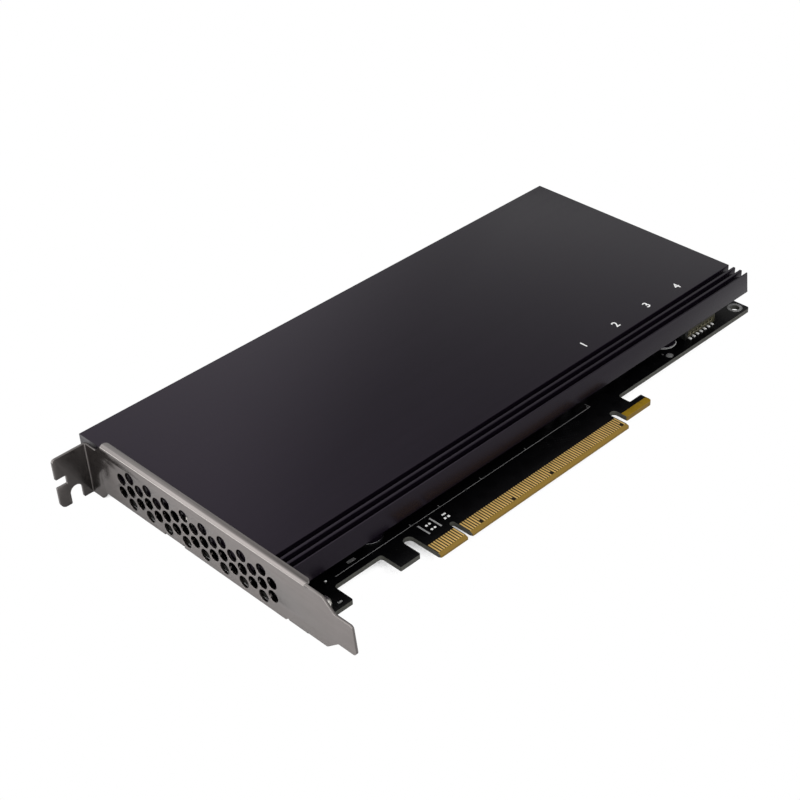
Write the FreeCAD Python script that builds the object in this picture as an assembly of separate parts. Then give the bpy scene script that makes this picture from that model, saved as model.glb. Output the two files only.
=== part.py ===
import FreeCAD
import Part
import math
import os

# Four-drive adapter card, all sizes in millimetres.
# Frame: origin at the centre of the edge connector's key notch, at the tip of the
# tongue, on the component face of the board.  +X runs along the card away from the
# bracket, +Y from the tongue towards the top edge, +Z out of the component face.

# ---------------------------------------------------------------- driving sizes
# Edge connector
contact_pitch = 1.0
contact_width = 0.7
contact_thickness = 0.04
contact_top_y = 5.8
contacts_before_key = 11
contacts_after_key = 71
key_width = 1.9
key_depth = 8.25
key_to_first_contact = 1.5
tongue_margin = 0.65
bevel_height = 1.3
bevel_depth = 0.45
late_contact_setback = 1.4
late_contact_numbers = (17, 31, 48, 81)

# Circuit board
board_thickness = 1.6
board_lower_y = 12.8
board_upper_y = 111.15
board_corner_radius = 1.0
board_bracket_gap = 0.2
corner_tab_length = 14.95
corner_tab_y = 4.8
front_tab_width = 7.95
front_tab_y = 4.7
front_slot_width = 3.6
front_slot_top_y = 13.05
rear_slot_width = 2.9
rear_slot_top_y = 8.85
latch_bottom_y = 3.3
latch_width = 12.35
latch_neck_width = 6.85
latch_shoulder_y = 7.85

# Bracket, a standard full-height sheet
sheet = 0.86
bracket_face_to_key = 58.01
bracket_width = 18.42
bracket_low_z = -3.1
bracket_length = 120.02
tab_seat_y = 105.5
tab_reach = 11.94
tab_offset = 3.35
bend_radius = 0.4
flange_reach = 2.75
flange_low_y = 5.8
flange_high_y = 97.4
flange_end_radius = 1.3
relief_width = 0.9
neck_start_y = 100.3
tongue_end_width = 10.0
tongue_end_low_z = 1.6
tongue_shoulder_y = -5.9
plate_end_y = -1.2
tab_slot_width = 3.15
tab_slot_depth = 3.75
tab_slot_low_z = 1.5
screw_notch_width = 4.45
screw_notch_x = 5.65
screw_notch_top_z = -0.6
ear_width = 7.3
ear_length = 11.2
ear_centres_y = (10.2, 64.5)
ear_hole_offset = 8.0
ear_screws_y = (9.0, 64.5)
ear_spacer_thickness = 1.0
ear_spacer_radius = 3.0
plate_step_height = 0.75
neck_slope_length = 3.3
plate_step_y = 15.2
vent_radius = 2.05
vent_row_spacing = 2.4
vent_spacing = 8.53
vent_rows = 5
vents_in_long_row = 9
vent_centre_y = 54.0
vent_centre_z = 4.97

# Heatsink cover
cover_flange_gap = 1.36
cover_underside_z = 5.6
cover_bracket_gap = 0.3
cover_lip_y = 15.0
cover_foot_y = 14.2
cover_upper_y = 109.85
cover_web = 3.2
finger_wall = 3.1
far_wall = 2.5
groove_width = 1.85
groove_depth = 2.6
rib_width = 0.9
groove_count = 3
lip_width = 0.4
post_radius = 4.5
post_front_setback = 36.75
post_rear_setback = 36.7
post_rows_y = (21.9, 61.7, 101.5)
post_hole_depth = 7.0
post_chamfer = 0.35

# Screws
m3_radius = 1.5
m3_head_radius = 3.0
m3_head_height = 2.4
m3_clearance = 0.1
thread_gap = 0.05
corner_hole_inset_x = 3.5
corner_hole_y = 16.5
corner_hole_radius = 1.6
land_ring = 1.05

# Drives and their sockets
drive_width = 22.0
drive_row_centres_y = (42.0, 82.0)
drive_reach = 75.9
socket_width = 21.9
socket_depth = 8.2
socket_height = 4.2
socket_slot_height = 0.95
socket_slot_low_z = 2.3
socket_slot_depth = 5.0
socket_wall = 0.9
socket_key_offset = 6.1
socket_key_width = 1.2
socket_tail_pitch = 0.5
socket_tail_width = 0.22
socket_tail_count = 34
socket_tail_length = 1.1
standoff_radius = 2.75
standoff_height = 2.45
standoff_front_margin = 7.875
standoff_rear_margin = 3.775
m2_radius = 1.0
m2_head_radius = 2.25
m2_head_height = 1.0
pad_thickness = 1.0
pad_width = 20.0
pad_end_margin = 3.5

# Switch chip
chip_centre_y = 62.0
substrate_side = 27.0
substrate_thickness = 1.2
lid_side = 23.0
lid_thickness = 1.5
chip_pad_side = 21.0
pedestal_side = 28.0
socket_chip_gap = 1.5

# Side header
header_pins = 7
header_pitch = 2.0
header_post_gap = 0.9
header_front_y = 16.5
header_depth = 4.6
header_height = 4.3
header_end_wall = 1.1
header_window_low_z = 1.2
header_window_height = 1.0
header_window_width = 1.3
header_window_depth = 2.6
header_tail_length = 1.1
header_tail_width = 0.7
header_tail_height = 0.5

# Power parts, in the strip between the finger side wall and the lower drives
power_row_y = 24.6
inductor_side = 6.6
inductor_height = 3.2
inductor_corner = 1.1
inductor_rear_setbacks = (68.9, 57.9)
can_radius = 3.15
can_rim_radius = 0.3
can_height = 5.8
can_base_side = 6.6
can_base_height = 0.9
can_rear_setbacks = (92.9, 84.9, 76.9)
regulator_side = 5.0
regulator_height = 0.9
regulator_rear_setbacks = (49.9, 112.9)
load_switch_size = (2.9, 1.4, 1.05)

# Lands on the component face: round ones are (x, y, radius), others (x, y, length, width)
header_land_gap = 10.4
header_land_y = 14.85
header_land_radius = 1.25
header_dot_gap = 11.5
header_dot_y = 16.9
header_dot_radius = 0.35
round_lands = (
    (-5.8, 10.07, 0.42),
    (-5.8, 12.35, 0.42),
    (-4.55, 10.07, 0.42),
    (-4.55, 12.35, 0.42),
)
square_lands = (
    (0.35, 10.7, 0.8, 0.8),
    (1.75, 10.65, 0.8, 0.8),
    (1.4, 12.35, 1.5, 0.6),
)
rounded_lands = (
    (-45.2, 6.85, 1.6, 0.7),
    (-31.3, 17.3, 3.0, 1.1),
    (-42.1, 16.1, 0.7, 0.7),
)
land_rounding = 0.2
header_land_margin = 0.1

# Small parts
clock_size = (5.0, 5.0, 0.9)
clock_chip_gap = 4.5
clock_crystal_pitch = 8.0
crystal_size = (3.2, 2.5, 0.8)
memory_size = (4.9, 3.9, 1.5)
memory_chip_gap = 4.05
memory_lead_width = 0.4
memory_lead_thickness = 0.2
memory_lead_reach = 1.0
memory_body_lift = 0.1
memory_lead_count = 4
memory_lead_pitch = 1.27
led_size = (1.6, 0.8, 0.6)
led_memory_gap = 5.65
led_resistor_pitch = 2.5
led_pitch = 4.0
led_count = 4
chip_resistor = (1.0, 0.5, 0.35)
chip_capacitor = (1.6, 0.8, 0.8)
capacitor_pitch = 3.0
capacitors_per_side = 8
capacitor_chip_gap = 1.2
load_switch_gap = 1.8
coupling_pitch = 1.6
coupling_count = 16
coupling_row_y = (21.4, 23.2)
coupling_rear_setback = 144.9

# ---------------------------------------------------------------- derived sizes
tongue_left_x = -(key_to_first_contact + (contacts_before_key - 1) * contact_pitch + tongue_margin)
tongue_right_x = key_to_first_contact + (contacts_after_key - 1) * contact_pitch + tongue_margin
front_tab_right_x = tongue_left_x - front_slot_width
front_tab_left_x = front_tab_right_x - front_tab_width
rear_slot_right_x = tongue_right_x + rear_slot_width
latch_right_x = rear_slot_right_x + latch_width
latch_neck_x = rear_slot_right_x + latch_neck_width
bracket_outer_x = -bracket_face_to_key
bracket_inner_x = bracket_outer_x + sheet
board_front_x = bracket_inner_x + board_bracket_gap
corner_tab_right_x = board_front_x + corner_tab_length
bracket_high_z = bracket_low_z + bracket_width
cover_top_z = bracket_high_z - sheet - cover_flange_gap
bracket_tip_y = tab_seat_y + sheet - bracket_length
tab_low_z = bracket_low_z - tab_offset
tab_high_z = tab_low_z + bracket_width
tab_outer_x = bracket_outer_x - tab_reach
ear_top_z = -board_thickness - ear_spacer_thickness
ear_hole_x = bracket_outer_x + ear_hole_offset
outer_bend = bend_radius + sheet
cover_front_x = bracket_inner_x + cover_bracket_gap
bay_length = drive_reach + socket_depth + socket_chip_gap + substrate_side / 2
chip_centre_x = board_front_x + standoff_front_margin + bay_length
board_rear_x = chip_centre_x + bay_length + standoff_rear_margin
cover_rear_x = board_rear_x
post_columns_x = (board_front_x + post_front_setback, board_rear_x - post_rear_setback)
inductor_places_x = [board_rear_x - setback for setback in inductor_rear_setbacks]
can_places_x = [board_rear_x - setback for setback in can_rear_setbacks]
regulator_places_x = [board_rear_x - setback for setback in regulator_rear_setbacks]
coupling_start_x = board_rear_x - coupling_rear_setback
channel_top_z = cover_top_z - groove_depth - (cover_web - groove_depth / 2)
first_groove_y = cover_lip_y + lip_width
left_mouth_x = chip_centre_x - substrate_side / 2 - socket_chip_gap - socket_depth
right_mouth_x = chip_centre_x + substrate_side / 2 + socket_chip_gap + socket_depth
header_low_x = post_columns_x[1] + post_radius + header_post_gap
header_first_x = header_low_x + header_end_wall + header_pitch / 2
header_lands = (
    (header_low_x - header_land_gap, header_land_y, header_land_radius),
    (header_low_x - header_dot_gap, header_dot_y, header_dot_radius),
)
lid_top_z = substrate_thickness + lid_thickness
pedestal_low_z = lid_top_z + pad_thickness
memory_y = chip_centre_y + substrate_side / 2 + memory_chip_gap + memory_size[1] / 2
led_y = memory_y + memory_size[1] / 2 + led_memory_gap + led_size[1] / 2
clock_y = chip_centre_y - substrate_side / 2 - clock_chip_gap - clock_size[1] / 2
drive_pad_low_z = cover_underside_z - pad_thickness


# ---------------------------------------------------------------- small helpers
def box(low, high):
    """Box between two opposite corners."""
    size = [high[i] - low[i] for i in range(3)]
    return Part.makeBox(size[0], size[1], size[2], FreeCAD.Vector(*low))


def block(cx, cy, z0, size):
    """Box of (length, width, height) centred on cx, cy and standing on z0."""
    return box((cx - size[0] / 2, cy - size[1] / 2, z0), (cx + size[0] / 2, cy + size[1] / 2, z0 + size[2]))


def post(cx, cy, z0, radius, height):
    """Round post standing on z0."""
    return Part.makeCylinder(radius, height, FreeCAD.Vector(cx, cy, z0), FreeCAD.Vector(0, 0, 1))


def fuse_all(shapes):
    """One solid from shapes that meet."""
    return shapes[0].multiFuse(shapes[1:]).removeSplitter()


def rounded_face(corners, place):
    """Face inside a closed outline of (u, v, radius) corners; place maps (u, v) to a point."""
    count = len(corners)
    runs = []
    for i in range(count):
        before = corners[i - 1]
        here = corners[i]
        after = corners[(i + 1) % count]
        to_before = (before[0] - here[0], before[1] - here[1])
        to_after = (after[0] - here[0], after[1] - here[1])
        length_before = math.hypot(*to_before)
        length_after = math.hypot(*to_after)
        cosine = (to_before[0] * to_after[0] + to_before[1] * to_after[1]) / (length_before * length_after)
        half = math.acos(max(-1.0, min(1.0, cosine))) / 2
        if here[2] <= 0:
            runs.append(((here[0], here[1]), None, (here[0], here[1])))
            continue
        reach = here[2] / math.tan(half)
        start_share = reach / length_before
        start = (here[0] + to_before[0] * start_share, here[1] + to_before[1] * start_share)
        end_share = reach / length_after
        end = (here[0] + to_after[0] * end_share, here[1] + to_after[1] * end_share)
        middle_u = (start[0] + end[0]) / 2 - here[0]
        middle_v = (start[1] + end[1]) / 2 - here[1]
        middle_length = math.hypot(middle_u, middle_v)
        to_arc = here[2] / math.sin(half) - here[2]
        middle = (here[0] + middle_u / middle_length * to_arc, here[1] + middle_v / middle_length * to_arc)
        runs.append((start, middle, end))
    edges = []
    for i in range(count):
        start, middle, end = runs[i]
        if middle is not None:
            edges.append(Part.Arc(place(*start), place(*middle), place(*end)).toShape())
        following = runs[(i + 1) % count][0]
        if math.hypot(following[0] - end[0], following[1] - end[1]) > 1e-6:
            edges.append(Part.LineSegment(place(*end), place(*following)).toShape())
    return Part.Face(Part.Wire(edges))


def flat_plate(corners, z0, thickness):
    """Plate with a rounded outline in X and Y, from z0 upwards."""
    face = rounded_face(corners, lambda u, v: FreeCAD.Vector(u, v, z0))
    return face.extrude(FreeCAD.Vector(0, 0, thickness))


def upright_plate(corners, x0, thickness):
    """Plate with a rounded outline in Y and Z, from x0 towards +X."""
    face = rounded_face(corners, lambda u, v: FreeCAD.Vector(x0, u, v))
    return face.extrude(FreeCAD.Vector(thickness, 0, 0))


def shelf_plate(corners, y0, thickness):
    """Plate with a rounded outline in X and Z, from y0 towards +Y."""
    face = rounded_face(corners, lambda u, v: FreeCAD.Vector(u, y0, v))
    return face.extrude(FreeCAD.Vector(0, thickness, 0))


def bend(centre, axis, start, length, quadrant):
    """Quarter ring of sheet about an axis ('Y' or 'Z'), kept in one quadrant of signs."""
    direction = {"Y": FreeCAD.Vector(0, 1, 0), "Z": FreeCAD.Vector(0, 0, 1)}[axis]
    across_y = FreeCAD.Vector(centre[0], start, centre[1])
    across_z = FreeCAD.Vector(centre[0], centre[1], start)
    base = {"Y": across_y, "Z": across_z}[axis]
    ring = Part.makeCylinder(outer_bend, length, base, direction)
    ring = ring.cut(Part.makeCylinder(bend_radius, length, base, direction))
    u0, u1 = sorted((centre[0], centre[0] + quadrant[0] * outer_bend))
    v0, v1 = sorted((centre[1], centre[1] + quadrant[1] * outer_bend))
    if axis == "Y":
        keep = box((u0, start, v0), (u1, start + length, v1))
    else:
        keep = box((u0, v0, start), (u1, v1, start + length))
    return ring.common(keep)


def save(name, solids):
    """Write one node, made of one or more separate solids."""
    shape = solids[0] if len(solids) == 1 else Part.makeCompound(solids)
    count = len(shape.Solids)
    assert shape.isValid() and count == len(solids), name
    shape.exportStep(os.path.join("parts", name + ".step"))
    print(name, count, round(shape.Volume, 2))


# ---------------------------------------------------------------- places shared by pieces
def cover_screw_places():
    """Centres of the cover's posts and of their screws."""
    return [(x, y) for x in post_columns_x for y in post_rows_y]


def bracket_screw_places():
    """Centres of the two bracket screws."""
    return [(ear_hole_x, y) for y in ear_screws_y]


def corner_hole_place():
    """Centre of the plated hole at the rear lower corner."""
    return board_rear_x - corner_hole_inset_x, corner_hole_y


def contact_places():
    """(x, contact number) of every contact on one side, number 1 next to the bracket."""
    places = []
    for i in range(contacts_before_key):
        x = -key_to_first_contact - (contacts_before_key - 1 - i) * contact_pitch
        places.append((x, i + 1))
    for i in range(contacts_after_key):
        places.append((key_to_first_contact + i * contact_pitch, contacts_before_key + 1 + i))
    return places


def drive_bays():
    """Each bay as (mouth x, direction the drive runs from the mouth, centre y)."""
    bays = []
    for centre_y in drive_row_centres_y:
        bays.append((left_mouth_x, -1, centre_y))
        bays.append((right_mouth_x, 1, centre_y))
    return bays


# ---------------------------------------------------------------- board
def board_outline():
    """Corners of the board, counter-clockwise from its corner at the bracket."""
    key_half = key_width / 2
    return [
        (board_front_x, corner_tab_y, 0),
        (corner_tab_right_x, corner_tab_y, 0.6),
        (corner_tab_right_x, board_lower_y, 1.0),
        (front_tab_left_x, board_lower_y, 1.0),
        (front_tab_left_x, front_tab_y, 0.3),
        (front_tab_right_x, front_tab_y, 0.6),
        (front_tab_right_x, front_slot_top_y, front_slot_width / 2),
        (tongue_left_x, front_slot_top_y, front_slot_width / 2),
        (tongue_left_x, 0, 0.5),
        (-key_half, 0, 0.3),
        (-key_half, key_depth, key_half),
        (key_half, key_depth, key_half),
        (key_half, 0, 0.3),
        (tongue_right_x, 0, 0.5),
        (tongue_right_x, rear_slot_top_y, rear_slot_width / 2),
        (rear_slot_right_x, rear_slot_top_y, rear_slot_width / 2),
        (rear_slot_right_x, latch_bottom_y, 0.4),
        (latch_right_x, latch_bottom_y, 1.0),
        (latch_right_x, latch_shoulder_y, 0.3),
        (latch_neck_x, latch_shoulder_y, 0.4),
        (latch_neck_x, board_lower_y, 1.2),
        (board_rear_x, board_lower_y, board_corner_radius),
        (board_rear_x, board_upper_y, board_corner_radius),
        (board_front_x, board_upper_y, board_corner_radius),
    ]


def make_board():
    board = flat_plate(board_outline(), -board_thickness, board_thickness)
    cuts = []
    for side in (1, -1):
        face_z = 0.0 if side > 0 else -board_thickness
        wedge = [
            FreeCAD.Vector(tongue_left_x, 0, face_z),
            FreeCAD.Vector(tongue_left_x, bevel_height, face_z),
            FreeCAD.Vector(tongue_left_x, 0, face_z - side * bevel_depth),
            FreeCAD.Vector(tongue_left_x, 0, face_z),
        ]
        face = Part.Face(Part.makePolygon(wedge))
        cuts.append(face.extrude(FreeCAD.Vector(tongue_right_x - tongue_left_x, 0, 0)))
    hole_radius = m3_radius + m3_clearance
    for x, y in bracket_screw_places() + cover_screw_places():
        cuts.append(post(x, y, -board_thickness, hole_radius, board_thickness))
    cuts.append(post(*corner_hole_place(), -board_thickness, corner_hole_radius, board_thickness))
    return board.cut(cuts)


def make_contacts(low_z):
    solids = []
    for x, number in contact_places():
        start_y = bevel_height + (late_contact_setback if number in late_contact_numbers else 0)
        low = (x - contact_width / 2, start_y, low_z)
        high = (x + contact_width / 2, contact_top_y, low_z + contact_thickness)
        solids.append(box(low, high))
    return solids


def make_latch_plating():
    low = (rear_slot_right_x, latch_bottom_y, -board_thickness)
    high = (latch_right_x, contact_top_y, 0)
    piece = flat_plate(board_outline(), -board_thickness, board_thickness).common(box(low, high))
    top = [face for face in piece.Faces if face.BoundBox.ZMin > -1e-6][0]
    bottom = [face for face in piece.Faces if face.BoundBox.ZMax < 1e-6 - board_thickness][0]
    up = top.extrude(FreeCAD.Vector(0, 0, contact_thickness))
    down = bottom.extrude(FreeCAD.Vector(0, 0, -contact_thickness))
    return [up, down]


def make_lands():
    """Tinned copper on the component face: corner hole, test lands and small footprints."""
    thickness = contact_thickness
    ring = post(*corner_hole_place(), 0, corner_hole_radius + land_ring, thickness)
    ring = ring.cut(post(*corner_hole_place(), 0, corner_hole_radius, thickness))
    lands = [ring]
    for i in range(header_pins):
        x = header_first_x + i * header_pitch
        y = header_front_y - header_tail_length / 2
        size = (header_tail_width + 2 * header_land_margin, header_tail_length, thickness)
        lands.append(block(x, y, 0, size))
    for x, y, radius in header_lands + round_lands:
        lands.append(post(x, y, 0, radius, thickness))
    for x, y, length, width in square_lands:
        lands.append(block(x, y, 0, (length, width, thickness)))
    for x, y, length, width in rounded_lands:
        corners = [
            (x - length / 2, y - width / 2, land_rounding),
            (x + length / 2, y - width / 2, land_rounding),
            (x + length / 2, y + width / 2, land_rounding),
            (x - length / 2, y + width / 2, land_rounding),
        ]
        lands.append(flat_plate(corners, 0, thickness))
    return lands


# ---------------------------------------------------------------- bracket
def bracket_outline():
    """Flat plate of the bracket in Y and Z, without flange, ears and tab."""
    bend_start_y = tab_seat_y - bend_radius
    tongue_high_z = tongue_end_low_z + tongue_end_width
    slope = neck_slope_length
    return [
        (bend_start_y, tab_low_z, 0),
        (bend_start_y, tab_high_z, 0),
        (neck_start_y, tab_high_z, 0.5),
        (neck_start_y - slope, bracket_high_z, 1.6),
        (plate_end_y, bracket_high_z, 2.2),
        (tongue_shoulder_y + 0.3, tongue_high_z, 1.2),
        (bracket_tip_y + 1.1, tongue_high_z, 1.1),
        (bracket_tip_y, tongue_end_low_z, 1.2),
        (tongue_shoulder_y - 0.6, tongue_end_low_z, 1.2),
        (plate_end_y - 0.6, bracket_low_z + plate_step_height, 1.2),
        (plate_step_y - plate_step_height, bracket_low_z + plate_step_height, 0.3),
        (plate_step_y, bracket_low_z, 0.3),
        (neck_start_y - slope + 1.0, bracket_low_z, 1.0),
        (neck_start_y, tab_low_z, 1.6),
    ]


def vent_places():
    """Staggered rows of vent holes as (y, z)."""
    places = []
    for row in range(vent_rows):
        count = vents_in_long_row - (row + 1) % 2
        z = vent_centre_z + (row - (vent_rows - 1) / 2) * vent_row_spacing
        for i in range(count):
            places.append((vent_centre_y + (i - (count - 1) / 2) * vent_spacing, z))
    return places


def tab_outline():
    """Screw tab in X and Z, with its side slot and the open screw notch."""
    bend_end_x = bracket_outer_x - bend_radius
    notch_x = bracket_outer_x - screw_notch_x
    notch_half = screw_notch_width / 2
    slot_x = tab_outer_x + tab_slot_depth
    slot_high_z = tab_slot_low_z + tab_slot_width
    return [
        (bend_end_x, tab_low_z, 0),
        (bend_end_x, tab_high_z, 0),
        (tab_outer_x, tab_high_z, 1.2),
        (tab_outer_x, slot_high_z, 0.2),
        (slot_x, slot_high_z, 0.3),
        (slot_x, tab_slot_low_z, 0.3),
        (tab_outer_x, tab_slot_low_z, 0.2),
        (tab_outer_x, tab_low_z, 2.2),
        (notch_x - notch_half, tab_low_z, 0.3),
        (notch_x - notch_half, screw_notch_top_z, notch_half - 0.01),
        (notch_x + notch_half, screw_notch_top_z, notch_half - 0.01),
        (notch_x + notch_half, tab_low_z, 0.4),
    ]


def make_flange():
    """Flange bent inwards over the cover, with its bend and rounded ends."""
    length = flange_high_y - flange_low_y
    centre_x = bracket_inner_x + bend_radius
    centre_z = bracket_high_z - outer_bend
    inner_x = bracket_outer_x + flange_reach
    curve = bend((centre_x, centre_z), "Y", flange_low_y, length, (-1, 1))
    leaf = box((centre_x, flange_low_y, bracket_high_z - sheet), (inner_x, flange_high_y, bracket_high_z))
    corners = [
        (bracket_outer_x, flange_low_y, 0),
        (inner_x, flange_low_y, flange_end_radius),
        (inner_x, flange_high_y, flange_end_radius),
        (bracket_outer_x, flange_high_y, 0),
    ]
    return curve.fuse(leaf).common(flat_plate(corners, centre_z, outer_bend))


def make_ear(centre_y, screw_y):
    """Ear bent inwards under the board, with its bend and tapped hole."""
    centre_x = bracket_inner_x + bend_radius
    centre_z = ear_top_z + bend_radius
    start = centre_y - ear_width / 2
    curve = bend((centre_x, centre_z), "Y", start, ear_width, (-1, -1))
    end_x = bracket_outer_x + ear_length
    corners = [
        (centre_x, start, 0),
        (end_x, start, 2.0),
        (end_x, start + ear_width, 2.0),
        (centre_x, start + ear_width, 0),
    ]
    leaf = flat_plate(corners, ear_top_z - sheet, sheet)
    hole = post(ear_hole_x, screw_y, ear_top_z - sheet, m3_radius + thread_gap, sheet)
    return curve.fuse(leaf).cut(hole)


def make_bracket():
    plate = upright_plate(bracket_outline(), bracket_outer_x, sheet)
    cuts = []
    flange_bend_z = bracket_high_z - outer_bend
    cuts.append(box((bracket_outer_x, flange_low_y, flange_bend_z),
                    (bracket_inner_x, flange_high_y, bracket_high_z + 1)))
    for centre_y in ear_centres_y:
        low_y = centre_y - ear_width / 2 - relief_width
        ear_bend_z = ear_top_z + bend_radius
        cuts.append(box((bracket_outer_x, low_y, bracket_low_z - 1),
                        (bracket_inner_x, low_y + ear_width + 2 * relief_width, ear_bend_z)))
    for y, z in vent_places():
        centre = FreeCAD.Vector(bracket_outer_x, y, z)
        cuts.append(Part.makeCylinder(vent_radius, sheet, centre, FreeCAD.Vector(1, 0, 0)))
    plate = plate.cut(cuts)
    bend_centre = (bracket_outer_x - bend_radius, tab_seat_y - bend_radius)
    tab_bend = bend(bend_centre, "Z", tab_low_z, bracket_width, (1, 1))
    tab = shelf_plate(tab_outline(), tab_seat_y, sheet)
    pieces = [plate, tab_bend, tab, make_flange()]
    for centre_y, screw_y in zip(ear_centres_y, ear_screws_y):
        pieces.append(make_ear(centre_y, screw_y))
    return fuse_all(pieces)


# ---------------------------------------------------------------- screws
def pan_screw(x, y, seat_z, direction, radius, length, head_radius, head_height):
    """Pan head screw whose head stands on seat_z and whose shank runs the other way."""
    up = FreeCAD.Vector(0, 0, direction)
    seat = FreeCAD.Vector(x, y, seat_z)
    rim_height = head_height * 0.45
    rim = Part.makeCylinder(head_radius, rim_height, seat, up)
    dome_base = FreeCAD.Vector(x, y, seat_z + direction * rim_height)
    dome = Part.makeCone(head_radius, head_radius * 0.62, head_height - rim_height, dome_base, up)
    shank = Part.makeCylinder(radius, length, seat, FreeCAD.Vector(0, 0, -direction))
    screw = fuse_all([rim, dome, shank])
    arm = head_radius * 0.5
    slot = head_radius * 0.16
    top_z = seat_z + direction * head_height
    bottom_z = top_z - direction * head_height * 0.55
    low_z, high_z = sorted((top_z, bottom_z))
    cross = [box((x - arm, y - slot, low_z), (x + arm, y + slot, high_z)),
             box((x - slot, y - arm, low_z), (x + slot, y + arm, high_z))]
    return screw.cut(cross)


def make_bracket_spacers():
    """Washers that fill the gap between the board and the bracket's ears."""
    spacers = []
    for x, y in bracket_screw_places():
        spacer = post(x, y, ear_top_z, ear_spacer_radius, ear_spacer_thickness)
        spacers.append(spacer.cut(post(x, y, ear_top_z, m3_radius + m3_clearance, ear_spacer_thickness)))
    return spacers


def make_bracket_screws():
    length = board_thickness + ear_spacer_thickness + sheet
    return [pan_screw(x, y, 0, 1, m3_radius, length, m3_head_radius, m3_head_height)
            for x, y in bracket_screw_places()]


def make_cover_screws():
    length = board_thickness + post_hole_depth - 1.0
    return [pan_screw(x, y, -board_thickness, -1, m3_radius, length, m3_head_radius, m3_head_height)
            for x, y in cover_screw_places()]


# ---------------------------------------------------------------- heatsink cover
def make_cover():
    """Extruded cover with ribs on its finger side, channels below, posts and a chip pedestal."""
    length = cover_rear_x - cover_front_x
    section = [
        (cover_foot_y, cover_underside_z, 0.3),
        (cover_upper_y, cover_underside_z, 0.3),
        (cover_upper_y, cover_top_z, 0.4),
        (cover_lip_y, cover_top_z, 0.15),
    ]
    body = upright_plate(section, cover_front_x, length)
    cuts = []
    for i in range(groove_count):
        low_y = first_groove_y + i * (groove_width + rib_width)
        groove = [
            (low_y, cover_top_z - groove_depth, 0.3),
            (low_y + groove_width, cover_top_z - groove_depth, 0.3),
            (low_y + groove_width, cover_top_z + 1, 0),
            (low_y, cover_top_z + 1, 0),
        ]
        cuts.append(upright_plate(groove, cover_front_x, length))
    land_half = drive_width / 2 + 2.0
    edges = [cover_foot_y + finger_wall]
    for centre_y in drive_row_centres_y:
        edges += [centre_y - land_half, centre_y + land_half]
    edges.append(cover_upper_y - far_wall)
    for low_y, high_y in zip(edges[0::2], edges[1::2]):
        channel = [
            (low_y, cover_underside_z - 1, 0),
            (high_y, cover_underside_z - 1, 0),
            (high_y, channel_top_z, 0.8),
            (low_y, channel_top_z, 0.8),
        ]
        cuts.append(upright_plate(channel, cover_front_x, length))
    body = body.cut(cuts)
    added = [body]
    pedestal = block(chip_centre_x, chip_centre_y, pedestal_low_z,
                     (pedestal_side, pedestal_side, channel_top_z - pedestal_low_z))
    added.append(pedestal)
    for x, y in cover_screw_places():
        foot = Part.makeCone(post_radius - post_chamfer, post_radius, post_chamfer, FreeCAD.Vector(x, y, 0))
        added.append(foot)
        added.append(post(x, y, post_chamfer, post_radius, channel_top_z + 0.2 - post_chamfer))
    body = fuse_all(added)
    holes = [post(x, y, 0, m3_radius + thread_gap, post_hole_depth) for x, y in cover_screw_places()]
    return body.cut(holes)


# ---------------------------------------------------------------- drive sockets
def make_socket(mouth_x, direction, centre_y):
    """Socket housing with its slot and key rib, mouth towards the drive."""
    back_x = mouth_x - direction * socket_depth
    low_x, high_x = sorted((mouth_x, back_x))
    half = socket_width / 2
    housing = box((low_x, centre_y - half, 0), (high_x, centre_y + half, socket_height))
    slot_end = mouth_x - direction * socket_slot_depth
    slot_low_x, slot_high_x = sorted((mouth_x, slot_end))
    slot = box((slot_low_x, centre_y - half + socket_wall, socket_slot_low_z),
               (slot_high_x, centre_y + half - socket_wall, socket_slot_low_z + socket_slot_height))
    key_y = centre_y - direction * socket_key_offset
    key = box((slot_low_x, key_y - socket_key_width / 2, socket_slot_low_z),
              (slot_high_x, key_y + socket_key_width / 2, socket_slot_low_z + socket_slot_height))
    step_low_x, step_high_x = sorted((mouth_x, mouth_x - direction * socket_slot_depth * 0.4))
    step = box((step_low_x, centre_y - half + socket_wall, socket_slot_low_z + socket_slot_height),
               (step_high_x, centre_y + half - socket_wall, socket_height))
    return housing.cut([slot.cut(key), step])


def make_socket_tails(mouth_x, direction, centre_y):
    """Row of solder tails behind the housing, left out beside the key."""
    back_x = mouth_x - direction * socket_depth
    end_x = back_x - direction * socket_tail_length
    low_x, high_x = sorted((back_x, end_x))
    key_y = centre_y - direction * socket_key_offset
    tails = []
    for i in range(socket_tail_count):
        y = centre_y + (i - (socket_tail_count - 1) / 2) * socket_tail_pitch
        if abs(y - key_y) < socket_key_width:
            continue
        tails.append(box((low_x, y - socket_tail_width / 2, 0), (high_x, y + socket_tail_width / 2, 0.25)))
    return tails


def make_standoff(mouth_x, direction, centre_y):
    x = mouth_x + direction * drive_reach
    body = post(x, centre_y, 0, standoff_radius, standoff_height)
    return body.cut(post(x, centre_y, 0, m2_radius + thread_gap, standoff_height))


def make_drive_screw(mouth_x, direction, centre_y):
    x = mouth_x + direction * drive_reach
    return pan_screw(x, centre_y, standoff_height, 1, m2_radius, standoff_height * 0.8, m2_head_radius,
                     m2_head_height)


def make_drive_pad(mouth_x, direction, centre_y):
    """Thermal pad under the cover, over the drive between its screw and its socket."""
    end_x = mouth_x + direction * (drive_reach - m2_head_radius - pad_end_margin)
    low_x, high_x = sorted((mouth_x + direction * pad_end_margin, end_x))
    return box((low_x, centre_y - pad_width / 2, drive_pad_low_z),
               (high_x, centre_y + pad_width / 2, cover_underside_z))


def make_chip_layer(low_z, side, thickness):
    """Square layer of the switch chip's stack."""
    return block(chip_centre_x, chip_centre_y, low_z, (side, side, thickness))


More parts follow.
